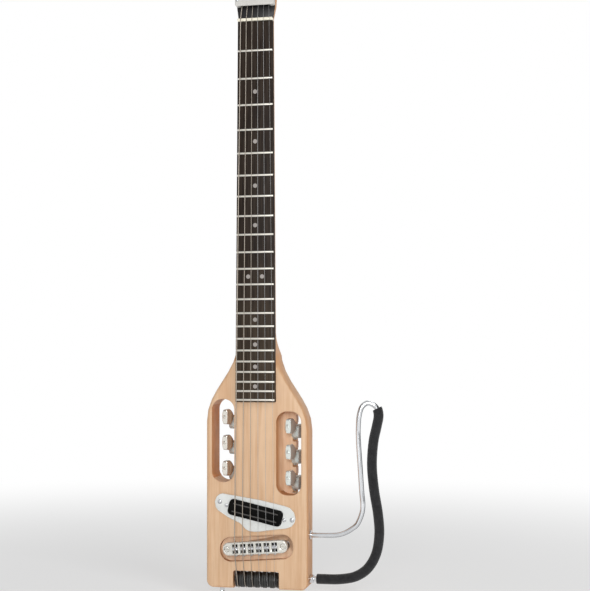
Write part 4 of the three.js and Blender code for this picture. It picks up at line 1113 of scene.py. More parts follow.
class Look(Enum):
    """Every finish on the guitar."""

    # Maple with painted shade on its sides and hollows, painted light on two hollow floors and a
    # painted highlight along its edges.
    MAPLE = Wood(
        "maple", Slot.MAPLE, light=linear(226, 191, 156), dark=linear(212, 170, 132),
        cut=(0.98, 0.76, 0.56), pore=linear(196, 148, 106), pore_share=0.25, width=1.0,
        roughness=(0.42, 0.56), coat=0.02, edge_radius=0.0024, gloss=0.3,
        painted_edge_highlight=(1.16, 1.18, 1.22), hollows=(BASS_SLOT, TREBLE_RECESS, BRIDGE_POCKET))
    # Paler towards the body end of the board.
    FINGERBOARD = Wood(
        "fingerboard wood", Slot.DARK_WOOD, light=linear(52, 43, 36), dark=linear(25, 18, 15),
        cut=(0.9, 0.9, 0.9), pore=linear(18, 13, 11), pore_share=0.8, width=2.6,
        roughness=(0.44, 0.58), coat=0.0, edge_radius=0.0006, gloss=0.12, worn=(2.3, 2.4, 2.2))
    CHROME = Metal("bright chrome", Slot.CHROME, linear(226, 228, 231), (0.06, 0.16))
    # One chrome in two copies, with painted light and shade: the bass keys warmer and more
    # mirror-like, the treble keys cooler, greyer and less mirror-like.
    BASS_KEY = Metal(
        "key chrome lit for the bass slot", Slot.CHROME, linear(232, 228, 219), (0.1, 0.17), metal=0.8)
    TREBLE_KEY = Metal(
        "key chrome lit for the treble recess", Slot.CHROME, linear(228, 233, 228), (0.1, 0.17), metal=0.6)
    SATIN_NICKEL = Metal(
        "satin nickel", Slot.CHROME, linear(226, 224, 216), (0.2, 0.3), brushed=0.1,
        edge_radius=0.0004, metal=0.5)
    CASE_NICKEL = Metal(
        "case nickel", Slot.CHROME, linear(208, 218, 217), (0.2, 0.3), brushed=0.1,
        edge_radius=0.0004, metal=0.3)
    # Dark brown: painted shade for the wheel down in the dark pocket.
    WHEEL_STEEL = Metal(
        "wheel steel in painted shade", Slot.CHROME, linear(88, 74, 64), (0.3, 0.4), brushed=0.2,
        edge_radius=0.0001)
    FRET_WIRE = Metal(
        "fret wire", Slot.CHROME, linear(228, 224, 214), (0.3, 0.42), brushed=0.3,
        edge_radius=0.0002, metal=0.5)
    PLAIN_STEEL = Metal(
        "plain steel", Slot.STEEL, linear(170, 171, 172), (0.25, 0.42), brushed=0.5)
    SCREW_STEEL = Metal(
        "screw steel", Slot.STEEL, linear(196, 197, 199), (0.18, 0.34), brushed=0.2,
        edge_radius=0.0001)
    WHITE_PLASTIC = Plastic(
        "white plastic", Slot.WHITE, linear(228, 230, 227), (0.22, 0.34), coat=0.3, vary=0.95)
    CAP_PLASTIC = Plastic(
        "cap plastic", Slot.WHITE, linear(206, 204, 199), (0.22, 0.34), coat=0.3, vary=0.95)
    IVORY_PLASTIC = Plastic(
        "ivory plastic", Slot.IVORY, linear(236, 230, 211), (0.3, 0.44), coat=0.2, vary=0.93)
    BLACK_PLASTIC = Plastic(
        "black plastic", Slot.BLACK, linear(9, 8, 7), (0.26, 0.42), vary=0.7, gloss=0.07)
    ROLLER_PLASTIC = RollerPlastic(
        "roller plastic", Slot.BLACK, linear(52, 52, 50), (0.3, 0.48), vary=0.6)
    PEARL_DOTS = Plastic(
        "pearl dots", Slot.IVORY, linear(168, 161, 156), (0.3, 0.45), vary=0.8)
    OVERLAY = Plastic(
        "overlay", Slot.BLACK, linear(20, 18, 18), (0.3, 0.45), vary=0.7, gloss=0.3)
    BLADE_STEEL = Metal(
        "blade steel", Slot.STEEL, linear(84, 82, 80), (0.35, 0.5), brushed=0.3,
        edge_radius=0.0001)
    FOAM = Foam("foam", Slot.FOAM, linear(22, 22, 24), cell=0.0009)
    WOUND_STRING = StringWire(
        "wound string", Slot.WIRE, linear(186, 176, 164), linear(146, 137, 127), turn=0.00042)
    PLAIN_STRING = StringWire(
        "plain string", Slot.WIRE, linear(186, 186, 186), linear(176, 176, 176), turn=0.004)


# Sub-assemblies


@dataclass(frozen=True)
class ScrewHead:
    """A screw's head, in millimetres, with one slot or with two that make a cross."""

    radius: float
    height: float
    slots: int = 2
    crown_shares: tuple[Span, ...] = (
        (1.0, 0.0), (1.0, 0.45), (0.93, 0.7), (0.75, 0.9), (0.45, 1.0))
    slot_share: float = 2.4
    cross_share: float = 1.2
    slot_width_share: float = 0.26
    slot_turn: float = 0.4
    steps: int = 24

    def model(self, name: str, place: Vector, axis: Vector) -> Piece:
        """Models the head.

        Args:
            name: the piece's name.
            place: the middle of the head's seat, in metres.
            axis: the way the head faces.

        Returns:
            The head.
        """
        crown = [(self.radius * wide, self.height * tall) for wide, tall in self.crown_shares]
        head = turned(name, crown, Vector(), Axis.UP.value, self.steps)
        length = self.radius * (self.slot_share if self.slots == 1 else self.cross_share)
        size = Vector((length, self.radius * self.slot_width_share, self.height)) * MM
        for turn in range(self.slots):
            cutter = block(name + "_slot", size, Axis.UP.value * self.height * MM)
            cutter.rotation_euler = (0, 0, turn * math.pi / 2 + self.slot_turn)
            cut(head, settle(cutter))
        return aim(smooth(head, CRISP_CROWN), place, axis)


@dataclass
class SubAssembly:
    """Pieces that belong together: the CAD nodes and the materials that they use."""

    nodes: dict[str, Piece]
    materials: dict[Look, bpy.types.Material]

    def finish(self, obj: Piece, look: Look, body: str = "root", *stands_for: str) -> Piece:
        """Gives a finished piece its look and its body.

        Args:
            obj: the piece, in place.
            look: its finish.
            body: the CAD body that it moves with.
            *stands_for: CAD nodes that it replaces.

        Returns:
            The same piece.
        """
        obj.data.materials.clear()
        obj.data.materials.append(self.materials[look])
        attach(obj, body)
        if stands_for:
            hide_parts(*stands_for)
        LOG.info("%s: %s, on %s", obj.name, look.value.name, body)
        return obj

    def dressed(
        self, node: str, look: Look, rounding: float = 0.0, body: str = "root",
        degrees: float = CRISP, segments: int = 2,
    ) -> Piece:
        """Finishes a copy of a CAD node.

        Args:
            node: the node's name.
            look: its finish.
            rounding: the width of the rounding on its sharp edges, in millimetres.
            body: the CAD body that it moves with.
            degrees: edges sharper than this stay crisp or are rounded.
            segments: faces across the rounding.

        Returns:
            The piece that stands for the node.
        """
        obj = copied(self.nodes[node], node + "_dressed")
        if rounding:
            round_edges(obj, rounding, segments, degrees)
        return self.finish(smooth(obj, degrees), look, body, node)


@dataclass
class NeckAndBody(SubAssembly):
    """The maple neck and body with the fingerboard, nut and head pieces."""

    neck_crisp: float = 32.0
    nut_rounding: float = 0.25
    overlay_rounding: float = 0.15
    cap_rounding: float = 0.5
    anchor_rounding: float = 0.2
    board_front: float = -6.1
    board_end: float = 173.8
    board_gap: float = 0.1
    board_rounding: float = 0.5
    blank_width: float = 2.0
    nut_half_width: float = 21.3
    board_end_half_width: float = 24.4
    fret_count: int = 22
    fret_width: float = 2.4
    fret_height: float = 1.0
    fret_inset: float = 0.5
    fret_foot: float = 0.02
    fret_rounding: float = 0.35
    fret_steps: int = 20
    dot_radius: float = 2.55
    dot_depth: float = 0.4
    dot_proud: float = 0.04
    dot_crown_shares: Span = (0.8, 1.5)
    dot_steps: int = 32
    single_dots: tuple[int, ...] = (3, 5, 7, 9, 15, 17, 19, 21)
    pair_dot: int = 12
    pair_spread: float = 17.0
    cap_screw: ScrewHead = ScrewHead(1.7, 0.8)
    cap_screw_place: Triple = (21.0, -9.9, 653.55)

    def half_width(self, up: float) -> float:
        """Gives half the fingerboard's width at a height.

        Args:
            up: the height above the saddles.

        Returns:
            Half the width.
        """
        share = (up - self.board_end) / (SCALE_LENGTH - self.board_end)
        narrowing = self.nut_half_width - self.board_end_half_width
        return self.board_end_half_width + narrowing * share

    def fret_up(self, number: int) -> float:
        """Gives the height of a fret."""
        return SCALE_LENGTH * 2 ** (-number / 12)

    def build(self) -> None:
        """Builds and dresses the neck, body and head."""
        self.dressed("neck_through_body", Look.MAPLE, degrees=self.neck_crisp)
        self.board()
        self.frets()
        self.dots()
        self.dressed("nut", Look.IVORY_PLASTIC, self.nut_rounding)
        self.dressed("head_overlay", Look.OVERLAY, self.overlay_rounding)
        self.dressed(
            "head_cap", Look.CAP_PLASTIC, self.cap_rounding, degrees=CRISP_CROWN, segments=3)
        self.dressed("string_anchor", Look.PLAIN_STEEL, self.anchor_rounding)
        self.dressed("truss_rod", Look.PLAIN_STEEL)
        across, into, up = self.cap_screw_place
        heads = [
            self.cap_screw.model("cap_screw", spot(side * across, into, up), -Axis.INTO.value)
            for side in Side
        ]
        self.finish(joined("head_cap_screws", heads), Look.SCREW_STEEL)

    def board(self) -> None:
        """Models the fingerboard without its frets."""
        depth = -self.board_front - self.board_gap
        middle = (self.board_end + SCALE_LENGTH) / 2
        length = SCALE_LENGTH - self.board_end - self.board_gap
        obj = block(
            "fingerboard_wood", Vector((self.blank_width, depth, length)) * MM,
            spot(0, self.board_front + depth / 2, middle))
        line = spot(0, 0, middle).z
        for foot, half_width in ((True, self.board_end_half_width), (False, self.nut_half_width)):
            with opened(obj):
                bpy.ops.mesh.select_all(action="DESELECT")
            for vertex in obj.data.vertices:
                vertex.select = (vertex.co.z < line) == foot
            bpy.ops.object.mode_set(mode="EDIT")
            bpy.ops.transform.resize(
                value=(2 * half_width / self.blank_width, 1, 1), center_override=(0, 0, 0),
                orient_type="GLOBAL")
        round_edges(obj, self.board_rounding)
        self.finish(smooth(obj), Look.FINGERBOARD, "root", "fingerboard")

    def frets(self) -> None:
        """Models the frets, each a crowned bar with rounded ends."""
        bars = []
        for number in range(1, self.fret_count + 1):
            up = self.fret_up(number)
            reach = self.half_width(up) - self.fret_inset
            bar = turned(
                "fret", [(self.fret_width / 2, 0.0), (self.fret_width / 2, 2 * reach)],
                spot(-reach, self.board_front, up), Axis.ACROSS.value, self.fret_steps)
            bar.scale = (1.0, 2 * self.fret_height / self.fret_width, 1.0)
            shift = spot(0, self.board_front, 0).y
            bar.location = (0, shift * (1 - bar.scale.y), 0)
            with opened(settle(bar)):
                bpy.ops.mesh.bisect(
                    plane_co=spot(0, self.board_front + self.fret_foot, up),
                    plane_no=Axis.INTO.value, clear_outer=True, use_fill=True)
            bars.append(round_edges(bar, self.fret_rounding, degrees=CRISP_ROD))
        self.finish(smooth(joined("frets", bars), CRISP_CROWN), Look.FRET_WIRE)

    def dots(self) -> None:
        """Models the inlaid dots."""
        spots = [(0.0, number) for number in self.single_dots]
        spots += [(side * self.pair_spread / 2, self.pair_dot) for side in Side]
        wide, tall = self.dot_crown_shares
        profile = [
            (self.dot_radius, -self.dot_depth), (self.dot_radius, self.dot_proud),
            (self.dot_radius * wide, self.dot_proud * tall),
        ]
        dots = []
        for across, number in spots:
            up = (self.fret_up(number) + self.fret_up(number - 1)) / 2
            dots.append(turned(
                "dot", profile, spot(across, self.board_front, up), -Axis.INTO.value,
                self.dot_steps))
        self.finish(smooth(joined("fingerboard_dots", dots)), Look.PEARL_DOTS)


@dataclass(frozen=True)
class TunerPlace:
    """One tuner: its string, its place and its own axes."""

    number: int
    side: Side
    seat: Triple
    start: float
    turns: float
    lean: float = math.radians(18.0)

    def at(self, out: float, back: float, up: float) -> Vector:
        """Gives a place in metres from the tuner's own axes.

        Args:
            out: along the post's axis, towards the treble side.
            back: along the key's shaft, towards the back.
            up: towards the head.

        Returns:
            The place on the guitar.
        """
        lean_cos, lean_sin = math.cos(self.lean), math.sin(self.lean)
        return spot(
            self.seat[0] + out * lean_cos + back * lean_sin,
            self.seat[1] - out * lean_sin + back * lean_cos,
            self.seat[2] + up,
        )

    def post_axis(self) -> Vector:
        """Gives the direction of the post's axis, towards the treble side."""
        return Vector((math.cos(self.lean), -math.sin(self.lean), 0.0))

    def key_axis(self) -> Vector:
        """Gives the direction from the case to the key's tip."""
        return Vector((-math.sin(self.lean), -math.cos(self.lean), 0.0))


@dataclass(frozen=True)
class TunerRow:
    """Three tuners in a slot, with the start and the turns of each string on its post."""

    side: Side
    middle: Triple
    numbers: tuple[int, ...]
    starts: tuple[float, ...]
    turns: tuple[float, ...]
    pitch: float = 31.0

    def places(self) -> list[TunerPlace]:
        """Lists the row's tuners from the tail to the head.

        Returns:
            The tuners.
        """
        across, into, up = self.middle
        return [
            TunerPlace(number, self.side, (across, into, up + self.pitch * step), start, turns)
            for step, number, start, turns in zip(
                (-1, 0, 1), self.numbers, self.starts, self.turns)
        ]


TUNERS = [
    *TunerRow(
        Side.BASS, middle=(-27.84, 24.5, 118.3), numbers=(6, 5, 4),
        starts=(7.85, 11.95, 14.7), turns=(1.25, 1.5, 2.0)).places(),
    *TunerRow(
        Side.TREBLE, middle=(40.97, 26.3, 108.0), numbers=(1, 2, 3),
        starts=(10.5, 12.3, 13.1), turns=(2.0, 2.0, 2.0)).places(),
]


@dataclass
class Strings(SubAssembly):
    """The six strings, from the anchor over the nut, saddles and rollers to the posts."""

    anchor_spread: float = 33.0
    anchor_into: float = -4.6
    anchor_ups: tuple[float, ...] = (655.45, 648.35, 646.45)
    nut_spread: float = 34.8
    nut_crown: float = -7.4
    saddle_crown: float = -10.8
    saddle_half: float = 1.0
    air: float = 0.3
    post_waist: float = 2.4
    winding_gap: float = 0.45
    end_length: float = 3.0
    arc_steps: int = 20
    turn_steps: int = 28
    sides: int = 8
    ball_outline: tuple[Span, ...] = (
        (1.2, -1.5), (1.9, -1.1), (1.4, 0.0), (1.9, 1.1), (1.2, 1.5))
    ball_steps: int = 24

    def over_neck(self, index: int) -> list[Vector]:
        """Lists a string's points from the anchor over the nut to its saddle.

        Args:
            index: the string, counted from the bass side.

        Returns:
            The points.
        """
        radius = STRING_DIAMETERS[index] / 2
        anchor = string_across(index, self.anchor_spread)
        nut = string_across(index, self.nut_spread)
        crest = string_across(index, BRIDGE_SPREAD)
        crest_up = math.tan(BRIDGE_TILT) * crest
        return [
            *(spot(anchor, self.anchor_into, up) for up in self.anchor_ups),
            spot(nut, self.nut_crown - radius, SCALE_LENGTH + NUT_THICKNESS),
            spot(nut, self.nut_crown - radius, SCALE_LENGTH),
            spot(crest, self.saddle_crown - radius, crest_up + self.saddle_half),
            spot(crest, self.saddle_crown - radius, crest_up - self.saddle_half),
        ]

    def on_post(self, index: int) -> list[Vector]:
        """Lists a string's points on its tuner post.

        Args:
            index: the string, counted from the bass side.

        Returns:
            The points of its winding and its end.
        """
        radius = STRING_DIAMETERS[index] / 2
        place = next(tuner for tuner in TUNERS if tuner.number == STRING_COUNT - index)
        loop = self.post_waist + self.air / 2 + radius
        pitch = 2 * radius + self.winding_gap
        points = []
        for step in range(round(place.turns * self.turn_steps) + 1):
            turn = step / self.turn_steps
            angle = 2 * math.pi * turn
            out = -place.side * (place.start + pitch * turn)
            points.append(place.at(out, loop * math.cos(angle), loop * math.sin(angle)))
        last = points[-1] - points[-2]
        return [*points, points[-1] + last.normalized() * self.end_length * MM]

    def route(self, index: int) -> list[Vector]:
        """Lists the points of one string's middle line.

        Args:
            index: the string, counted from the bass side.

        Returns:
            The points from the anchor to its end on the post.
        """
        radius = STRING_DIAMETERS[index] / 2
        crest_up = math.tan(BRIDGE_TILT) * string_across(index, BRIDGE_SPREAD)
        wrap = GROOVE_RADIUS + self.air + radius
        post = self.on_post(index)
        into, up = ROLLER_AXLE
        axle = spot(0, into, up)
        comes = math.atan2(into - wrap - self.saddle_crown + radius, crest_up - up)
        goes = math.atan2(post[0].y - axle.y - wrap * MM, post[0].z - axle.z)
        across = string_across(index, ROLLER_SPREAD, ROLLER_MIDDLE)
        bend = []
        for step in range(self.arc_steps + 1):
            angle = comes + (math.pi - goes - comes) * step / self.arc_steps
            bend.append(spot(
                across, into - wrap * math.cos(angle), up - wrap * math.sin(angle)))
        return [*self.over_neck(index), *bend, *post]

    def lay_along(self, obj: Piece, route: Sequence[Vector]) -> None:
        """Maps a string's surface by the length of the string.

        Args:
            obj: the string.
            route: the points of its middle line.
        """
        lengths = lengths_along(route)
        reach = []
        for vertex in obj.data.vertices:
            best, share = math.inf, 0.0
            for length, start, end in zip(lengths, route, route[1:]):
                way = end - start
                along = max(0.0, min(1.0, (vertex.co - start).dot(way) / way.length_squared))
                gap = (vertex.co - start - way * along).length
                if gap < best:
                    best, share = gap, length + way.length * along
            reach.append(share)
        for layer in list(obj.data.uv_layers):
            obj.data.uv_layers.remove(layer)
        layer = obj.data.uv_layers.new(name="Along")
        for loop in obj.data.loops:
            layer.data[loop.index].uv = (reach[loop.vertex_index], 0.0)

    def build(self) -> None:
        """Builds the strings with their ball ends."""
        for index, diameter in enumerate(STRING_DIAMETERS):
            number = STRING_COUNT - index
            route = self.route(index)
            obj = wire(f"string_{number}_wire", route, diameter / 2, self.sides)
            self.lay_along(obj, route)
            look = Look.WOUND_STRING if index < WOUND_STRINGS else Look.PLAIN_STRING
            self.finish(smooth(obj, CRISP_ROD), look, "root", f"string_{number}")
            ball = turned(
                f"ball_end_{number}", self.ball_outline, route[0], Axis.ACROSS.value,
                self.ball_steps)
            self.finish(smooth(ball, CRISP_SOFT), Look.PLAIN_STEEL)


@dataclass
class Pickup(SubAssembly):
    """The surround, the twin-blade pickup and their screws."""

    middle: Span = (-0.7, 41.4)
    tilt: float = math.radians(-12.6)
    cover_rounding: float = 0.35
    inner_rounding: float = 0.2
    mount_spread: float = 91.0
    mount_lift: float = 2.2
    mount_screw: ScrewHead = ScrewHead(2.7, 1.1)
    height_spread: float = 73.0
    height_screw: ScrewHead = ScrewHead(2.2, 1.1)
    face: float = -2.1
    blade_length: float = 56.0
    blade_thickness: float = 1.5
    blade_spread: float = 9.4
    blade_front: float = -5.95
    blade_height: float = 0.5
    blade_rounding: float = 0.15

    def on_surround(self, along: float, lift: float, into: float) -> Vector:
        """Gives a place on the slanted surround.

        Args:
            along: millimetres along it from its middle.
            lift: millimetres square to that, towards the head.
            into: millimetres behind the front face of the body.

        Returns:
            The place in metres.
        """
        return spot(
            self.middle[0] + along * math.cos(self.tilt) - lift * math.sin(self.tilt), into,
            self.middle[1] + along * math.sin(self.tilt) + lift * math.cos(self.tilt))

    def build(self) -> None:
        """Builds and dresses the pickup."""
        self.dressed("pickup_surround", Look.WHITE_PLASTIC, degrees=CRISP_ROD)
        self.dressed("pickup_cover", Look.BLACK_PLASTIC, self.cover_rounding, "pickup")
        self.dressed("pickup_coils", Look.BLACK_PLASTIC, self.inner_rounding, "pickup")
        self.dressed("pickup_base_plate", Look.PLAIN_STEEL, self.inner_rounding, "pickup")
        self.blades()
        heads = []
        for side in Side:
            mount = self.on_surround(side * self.mount_spread / 2, self.mount_lift, self.face)
            heads.append(self.mount_screw.model("mount", mount, -Axis.INTO.value))
            height = self.on_surround(side * self.height_spread / 2, 0.0, self.face)
            heads.append(self.height_screw.model("height", height, -Axis.INTO.value))
        self.finish(joined("pickup_screws", heads), Look.SCREW_STEEL)

    def blades(self) -> None:
        """Models the two steel blades that show in the pickup's face."""
        into = self.blade_front + self.blade_height / 2
        size = Vector((self.blade_length, self.blade_height, self.blade_thickness)) * MM
        blades = []
        for side in Side:
            blade = block("blade", size)
            round_edges(blade, self.blade_rounding)
            blade.rotation_euler = (0.0, -self.tilt, 0.0)
            blade.location = self.on_surround(0.0, side * self.blade_spread / 2, into)
            blades.append(settle(blade))
        self.finish(joined("pickup_blades", blades), Look.BLADE_STEEL, "pickup")


@dataclass
class Bridge(SubAssembly):
    """The bridge with its saddles, posts and screws."""

    bar_rounding: float = 0.35
    bar_half_width: float = 7.75
    saddle_rounding: float = 0.2
    bushing_rounding: float = 0.3
    screw_height: float = 5.9
    screw: ScrewHead = ScrewHead(1.7, 1.6, slots=1)
    shaft_outline: tuple[Span, ...] = ((0.75, -13.6), (0.75, 0.2))
    shaft_steps: int = 16
    window: Span = (6.8, 11.0)
    window_gap: float = 0.1
    window_floor: float = -3.01
    # Thickness of each black sheet of painted shade.
    shade_sheet: float = 0.15
    post_spread: float = 69.0
    wheel_radius: float = 6.0
    wheel_front: float = -0.7
    wheel_thickness: float = 2.0
    wheel_crisp: float = 5.0
    stud_radius: float = 3.2
    stud_top: float = -8.5
    stud_foot: float = 17.0
    chamfer: float = 0.3
    slot: Triple = (8.0, 4.0, 1.5)
    knurls: int = 60

    def on_bar(self, along: float, lift: float, into: float) -> Vector:
        """Gives a place on the tilted bar.

        Args:
            along: millimetres along it from its middle.
            lift: millimetres square to that, towards the head.
            into: millimetres behind the front face of the body.

        Returns:
            The place in metres.
        """
        return spot(
            along * math.cos(BRIDGE_TILT) - lift * math.sin(BRIDGE_TILT), into,
            along * math.sin(BRIDGE_TILT) + lift * math.cos(BRIDGE_TILT))

    def build(self) -> None:
        """Builds and dresses the bridge."""
        self.dressed("bridge", Look.SATIN_NICKEL, self.bar_rounding, degrees=CRISP_CROWN)
        for number in range(1, STRING_COUNT + 1):
            saddle = f"saddle_{number}"
            self.dressed(saddle, Look.CHROME, self.saddle_rounding, saddle)
        self.windows()
        for side in Side:
            self.post(side)
            bushing = f"bridge_bushing_{side.word()}"
            self.dressed(bushing, Look.PLAIN_STEEL, self.bushing_rounding)

    def windows(self) -> None:
        """Models the intonation screws and black sheets of painted shade on the window floors of
        the bar.
        """
        down = Vector((math.sin(BRIDGE_TILT), 0.0, -math.cos(BRIDGE_TILT)))
        wide, long = (side - self.window_gap for side in self.window)
        size = Vector((wide, self.shade_sheet, long)) * MM
        heads = []
        shade_sheets = []
        for index in range(STRING_COUNT):
            along = string_across(index, BRIDGE_SPREAD) / math.cos(BRIDGE_TILT)
            # A black sheet of painted shade on each window's floor.
            shade_sheet = block("shade_sheet", size)
            shade_sheet.rotation_euler = (0.0, -BRIDGE_TILT, 0.0)
            shade_sheet.location = self.on_bar(along, 0.0, self.window_floor - self.shade_sheet / 2)
            shade_sheets.append(settle(shade_sheet))
            seat = self.on_bar(along, -self.bar_half_width, -self.screw_height)
            heads.append(self.screw.model("intonation", seat, down))
            heads.append(turned("shaft", self.shaft_outline, seat, down, self.shaft_steps))
        screws = smooth(joined("intonation_screws", heads), CRISP_CROWN)
        self.finish(screws, Look.SCREW_STEEL)
        self.finish(joined("bridge_window_shade_sheets", shade_sheets), Look.BLACK_PLASTIC)

    def post(self, side: Side) -> None:
        """Models one post with its knurled wheel.

        Args:
            side: the side of the bridge that it carries.
        """
        seat = self.on_bar(side * self.post_spread / 2, 0.0, 0.0)
        name = f"bridge_post_{side.word()}"
        front, back = self.wheel_front, self.wheel_front + self.wheel_thickness
        wheel = turned(f"bridge_wheel_{side.word()}", [
            (self.stud_radius, back), (self.wheel_radius - self.chamfer, back),
            (self.wheel_radius, back - self.chamfer), (self.wheel_radius, front + self.chamfer),
            (self.wheel_radius - self.chamfer, front), (self.stud_radius, front),
        ], seat, Axis.INTO.value, self.knurls, ring=True)
        # The wheel takes painted shade.
        self.finish(smooth(wheel, self.wheel_crisp), Look.WHEEL_STEEL)
        post = turned(name + "_turned", [
            (self.stud_radius, self.stud_foot), (self.stud_radius, self.stud_top + self.chamfer),
            (self.stud_radius - self.chamfer, self.stud_top),
        ], seat, Axis.INTO.value, self.knurls)
        top = self.on_bar(side * self.post_spread / 2, 0.0, self.stud_top)
        cut(post, block("slot", Vector(self.slot) * MM, top))
        self.finish(smooth(post, CRISP_CROWN), Look.SATIN_NICKEL, "root", name)


@dataclass
class Rollers(SubAssembly):
    """The six grooved rollers on their axle in the tail."""

    radius: float = 10.0
    width: float = 8.9
    bore: float = 2.65
    end_trim: float = 1.6
    steps: int = 64
    axle_rounding: float = 0.3
    edge_steps: tuple[Span, ...] = ((0.5, 0.0), (0.12, 0.12), (0.0, 0.3))
    rim_steps: tuple[Span, ...] = ((0.0, 2.5), (0.3, 2.15))
    floor_steps: tuple[Span, ...] = ((0.15, 1.55), (0.0, 1.2))

    def half(self, reach: float) -> list[Span]:
        """Lists a roller's profile from one end to its middle.

        Args:
            reach: the distance from the middle to the end.

        Returns:
            Pairs of radius and distance from the middle.
        """
        return [
            (self.bore, reach),
            *((self.radius - down, reach - along) for down, along in self.edge_steps),
            *((self.radius - down, along) for down, along in self.rim_steps),
            *((GROOVE_RADIUS + up, along) for up, along in self.floor_steps),
        ]

    def build(self) -> None:
        """Builds the rollers and dresses the axle."""
        for index in range(STRING_COUNT):
            number = STRING_COUNT - index
            node = f"tail_roller_{number}"
            across = string_across(index, ROLLER_SPREAD, ROLLER_MIDDLE)
            low = self.width / 2 - (self.end_trim if number == STRING_COUNT else 0.0)
            high = self.width / 2 - (self.end_trim if number == 1 else 0.0)
            profile = [(radius, -along) for radius, along in self.half(low)]
            profile += reversed(self.half(high))
            roller = turned(
                node + "_turned", profile, spot(across, *ROLLER_AXLE), Axis.ACROSS.value,
                self.steps, ring=True)
            self.finish(
                smooth(roller, CRISP_RIM), Look.ROLLER_PLASTIC, f"roller_{number}", node)
        self.dressed("roller_axle", Look.PLAIN_STEEL, self.axle_rounding)


@dataclass
class Tuners(SubAssembly):
    """The tuner cases, posts and keys in the two slots."""

    case_thickness: float = 10.0
    case_rounding: float = 0.5
    post_rounding: float = 0.15
    post_crisp: float = 38.0
    key_up: float = 6.0
    shaft_outline: tuple[Span, ...] = (
        (1.7, -6.0), (1.7, 7.6), (3.0, 7.6), (3.0, 8.4), (2.2, 9.4), (1.7, 10.0), (1.7, 12.0))
    shaft_steps: int = 32
    button_tip: float = 24.4
    button_size: Triple = (7.6, 19.0, 14.0)
    button_cuts: int = 7
    button_rounding: float = 3.3
    button_segments: int = 5
    front_crown: float = 0.94
    back_crown: float = 0.25
    waist: float = 0.66
    waist_end: float = 0.5
    waist_power: float = 1.5
    tip_start: float = 0.55
    tip_narrow: float = 0.1
    end_screw: ScrewHead = ScrewHead(2.0, 0.9, slots=1)
    end_sunk: float = 0.25
    lug_screw: ScrewHead = ScrewHead(2.0, 1.1)
    lug_out: float = 2.5
    lug_up: float = -9.0

    def build(self) -> None:
        """Builds the six tuners."""
        for place in TUNERS:
            self.key(place)
            self.dressed(
                f"tuner_case_{place.number}", Look.CASE_NICKEL, self.case_rounding,
                degrees=CRISP_CROWN, segments=3)
            self.dressed(
                f"tuner_post_{place.number}", Look.CHROME, self.post_rounding,
                f"post_{place.number}", self.post_crisp)
        heads = [
            self.lug_screw.model(
                "lug", place.at(place.side * self.lug_out, 0.0, self.lug_up),
                place.side * place.post_axis())
            for place in TUNERS
        ]
        self.finish(joined("tuner_lug_screws", heads), Look.SCREW_STEEL)

    def key(self, place: TunerPlace) -> None:
        """Models one key: its shaft, collar, rounded button and end screw.

        Args:
            place: the tuner that it turns.
        """
        out = place.side * self.case_thickness / 2
        toward = place.key_axis()
        shaft = turned(
            "shaft", self.shaft_outline, place.at(out, 0.0, self.key_up), toward,
            self.shaft_steps)
        size = [length * MM for length in self.button_size]
        button = block("button", size, cuts=self.button_cuts)
        round_edges(button, self.button_rounding, self.button_segments, CRISP_SOFT)
        self.pinch(button)
        middle = place.at(out, -(self.button_tip - self.button_size[2] / 2), self.key_up)
        spin = Matrix((place.post_axis(), toward.cross(place.post_axis()), toward)).transposed()
        button.matrix_world = Matrix.Translation(middle) @ spin.to_4x4()
        smooth(settle(button), CRISP_SOFT)
        end = self.end_screw.model(
            "end", place.at(out, -self.button_tip + self.end_sunk, self.key_up), toward)
        node = f"tuner_key_{place.number}"
        # The same chrome, lit one way for each slot: painted light and shade.
        look = Look.BASS_KEY if place.side is Side.BASS else Look.TREBLE_KEY
        key = joined(node + "_turned", [button, shaft, end])
        self.finish(key, look, f"key_{place.number}", node)

    def pinch(self, button: Piece) -> None:
        """Narrows a button towards its shaft and its tip, and crowns its faces.

        Args:
            button: the button, along Z and before it is placed.
        """
        _, width, length = (size * MM for size in self.button_size)
        for vertex in button.data.vertices:
            share = (vertex.co.z + length / 2) / length
            root = max(0.0, self.waist_end - share) / self.waist_end
            tip = max(0.0, share - self.tip_start) / (1.0 - self.tip_start)
            narrowing = 1.0 - self.waist * root**self.waist_power
            vertex.co.y *= narrowing * (1.0 - self.tip_narrow * tip)
            edge = min(abs(vertex.co.y) / (width / 2), 1.0)
            if vertex.co.x < 0:
                vertex.co.x *= math.sqrt(1.0 - self.front_crown * edge**2)
            else:
                vertex.co.x *= 1.0 - self.back_crown * edge**4


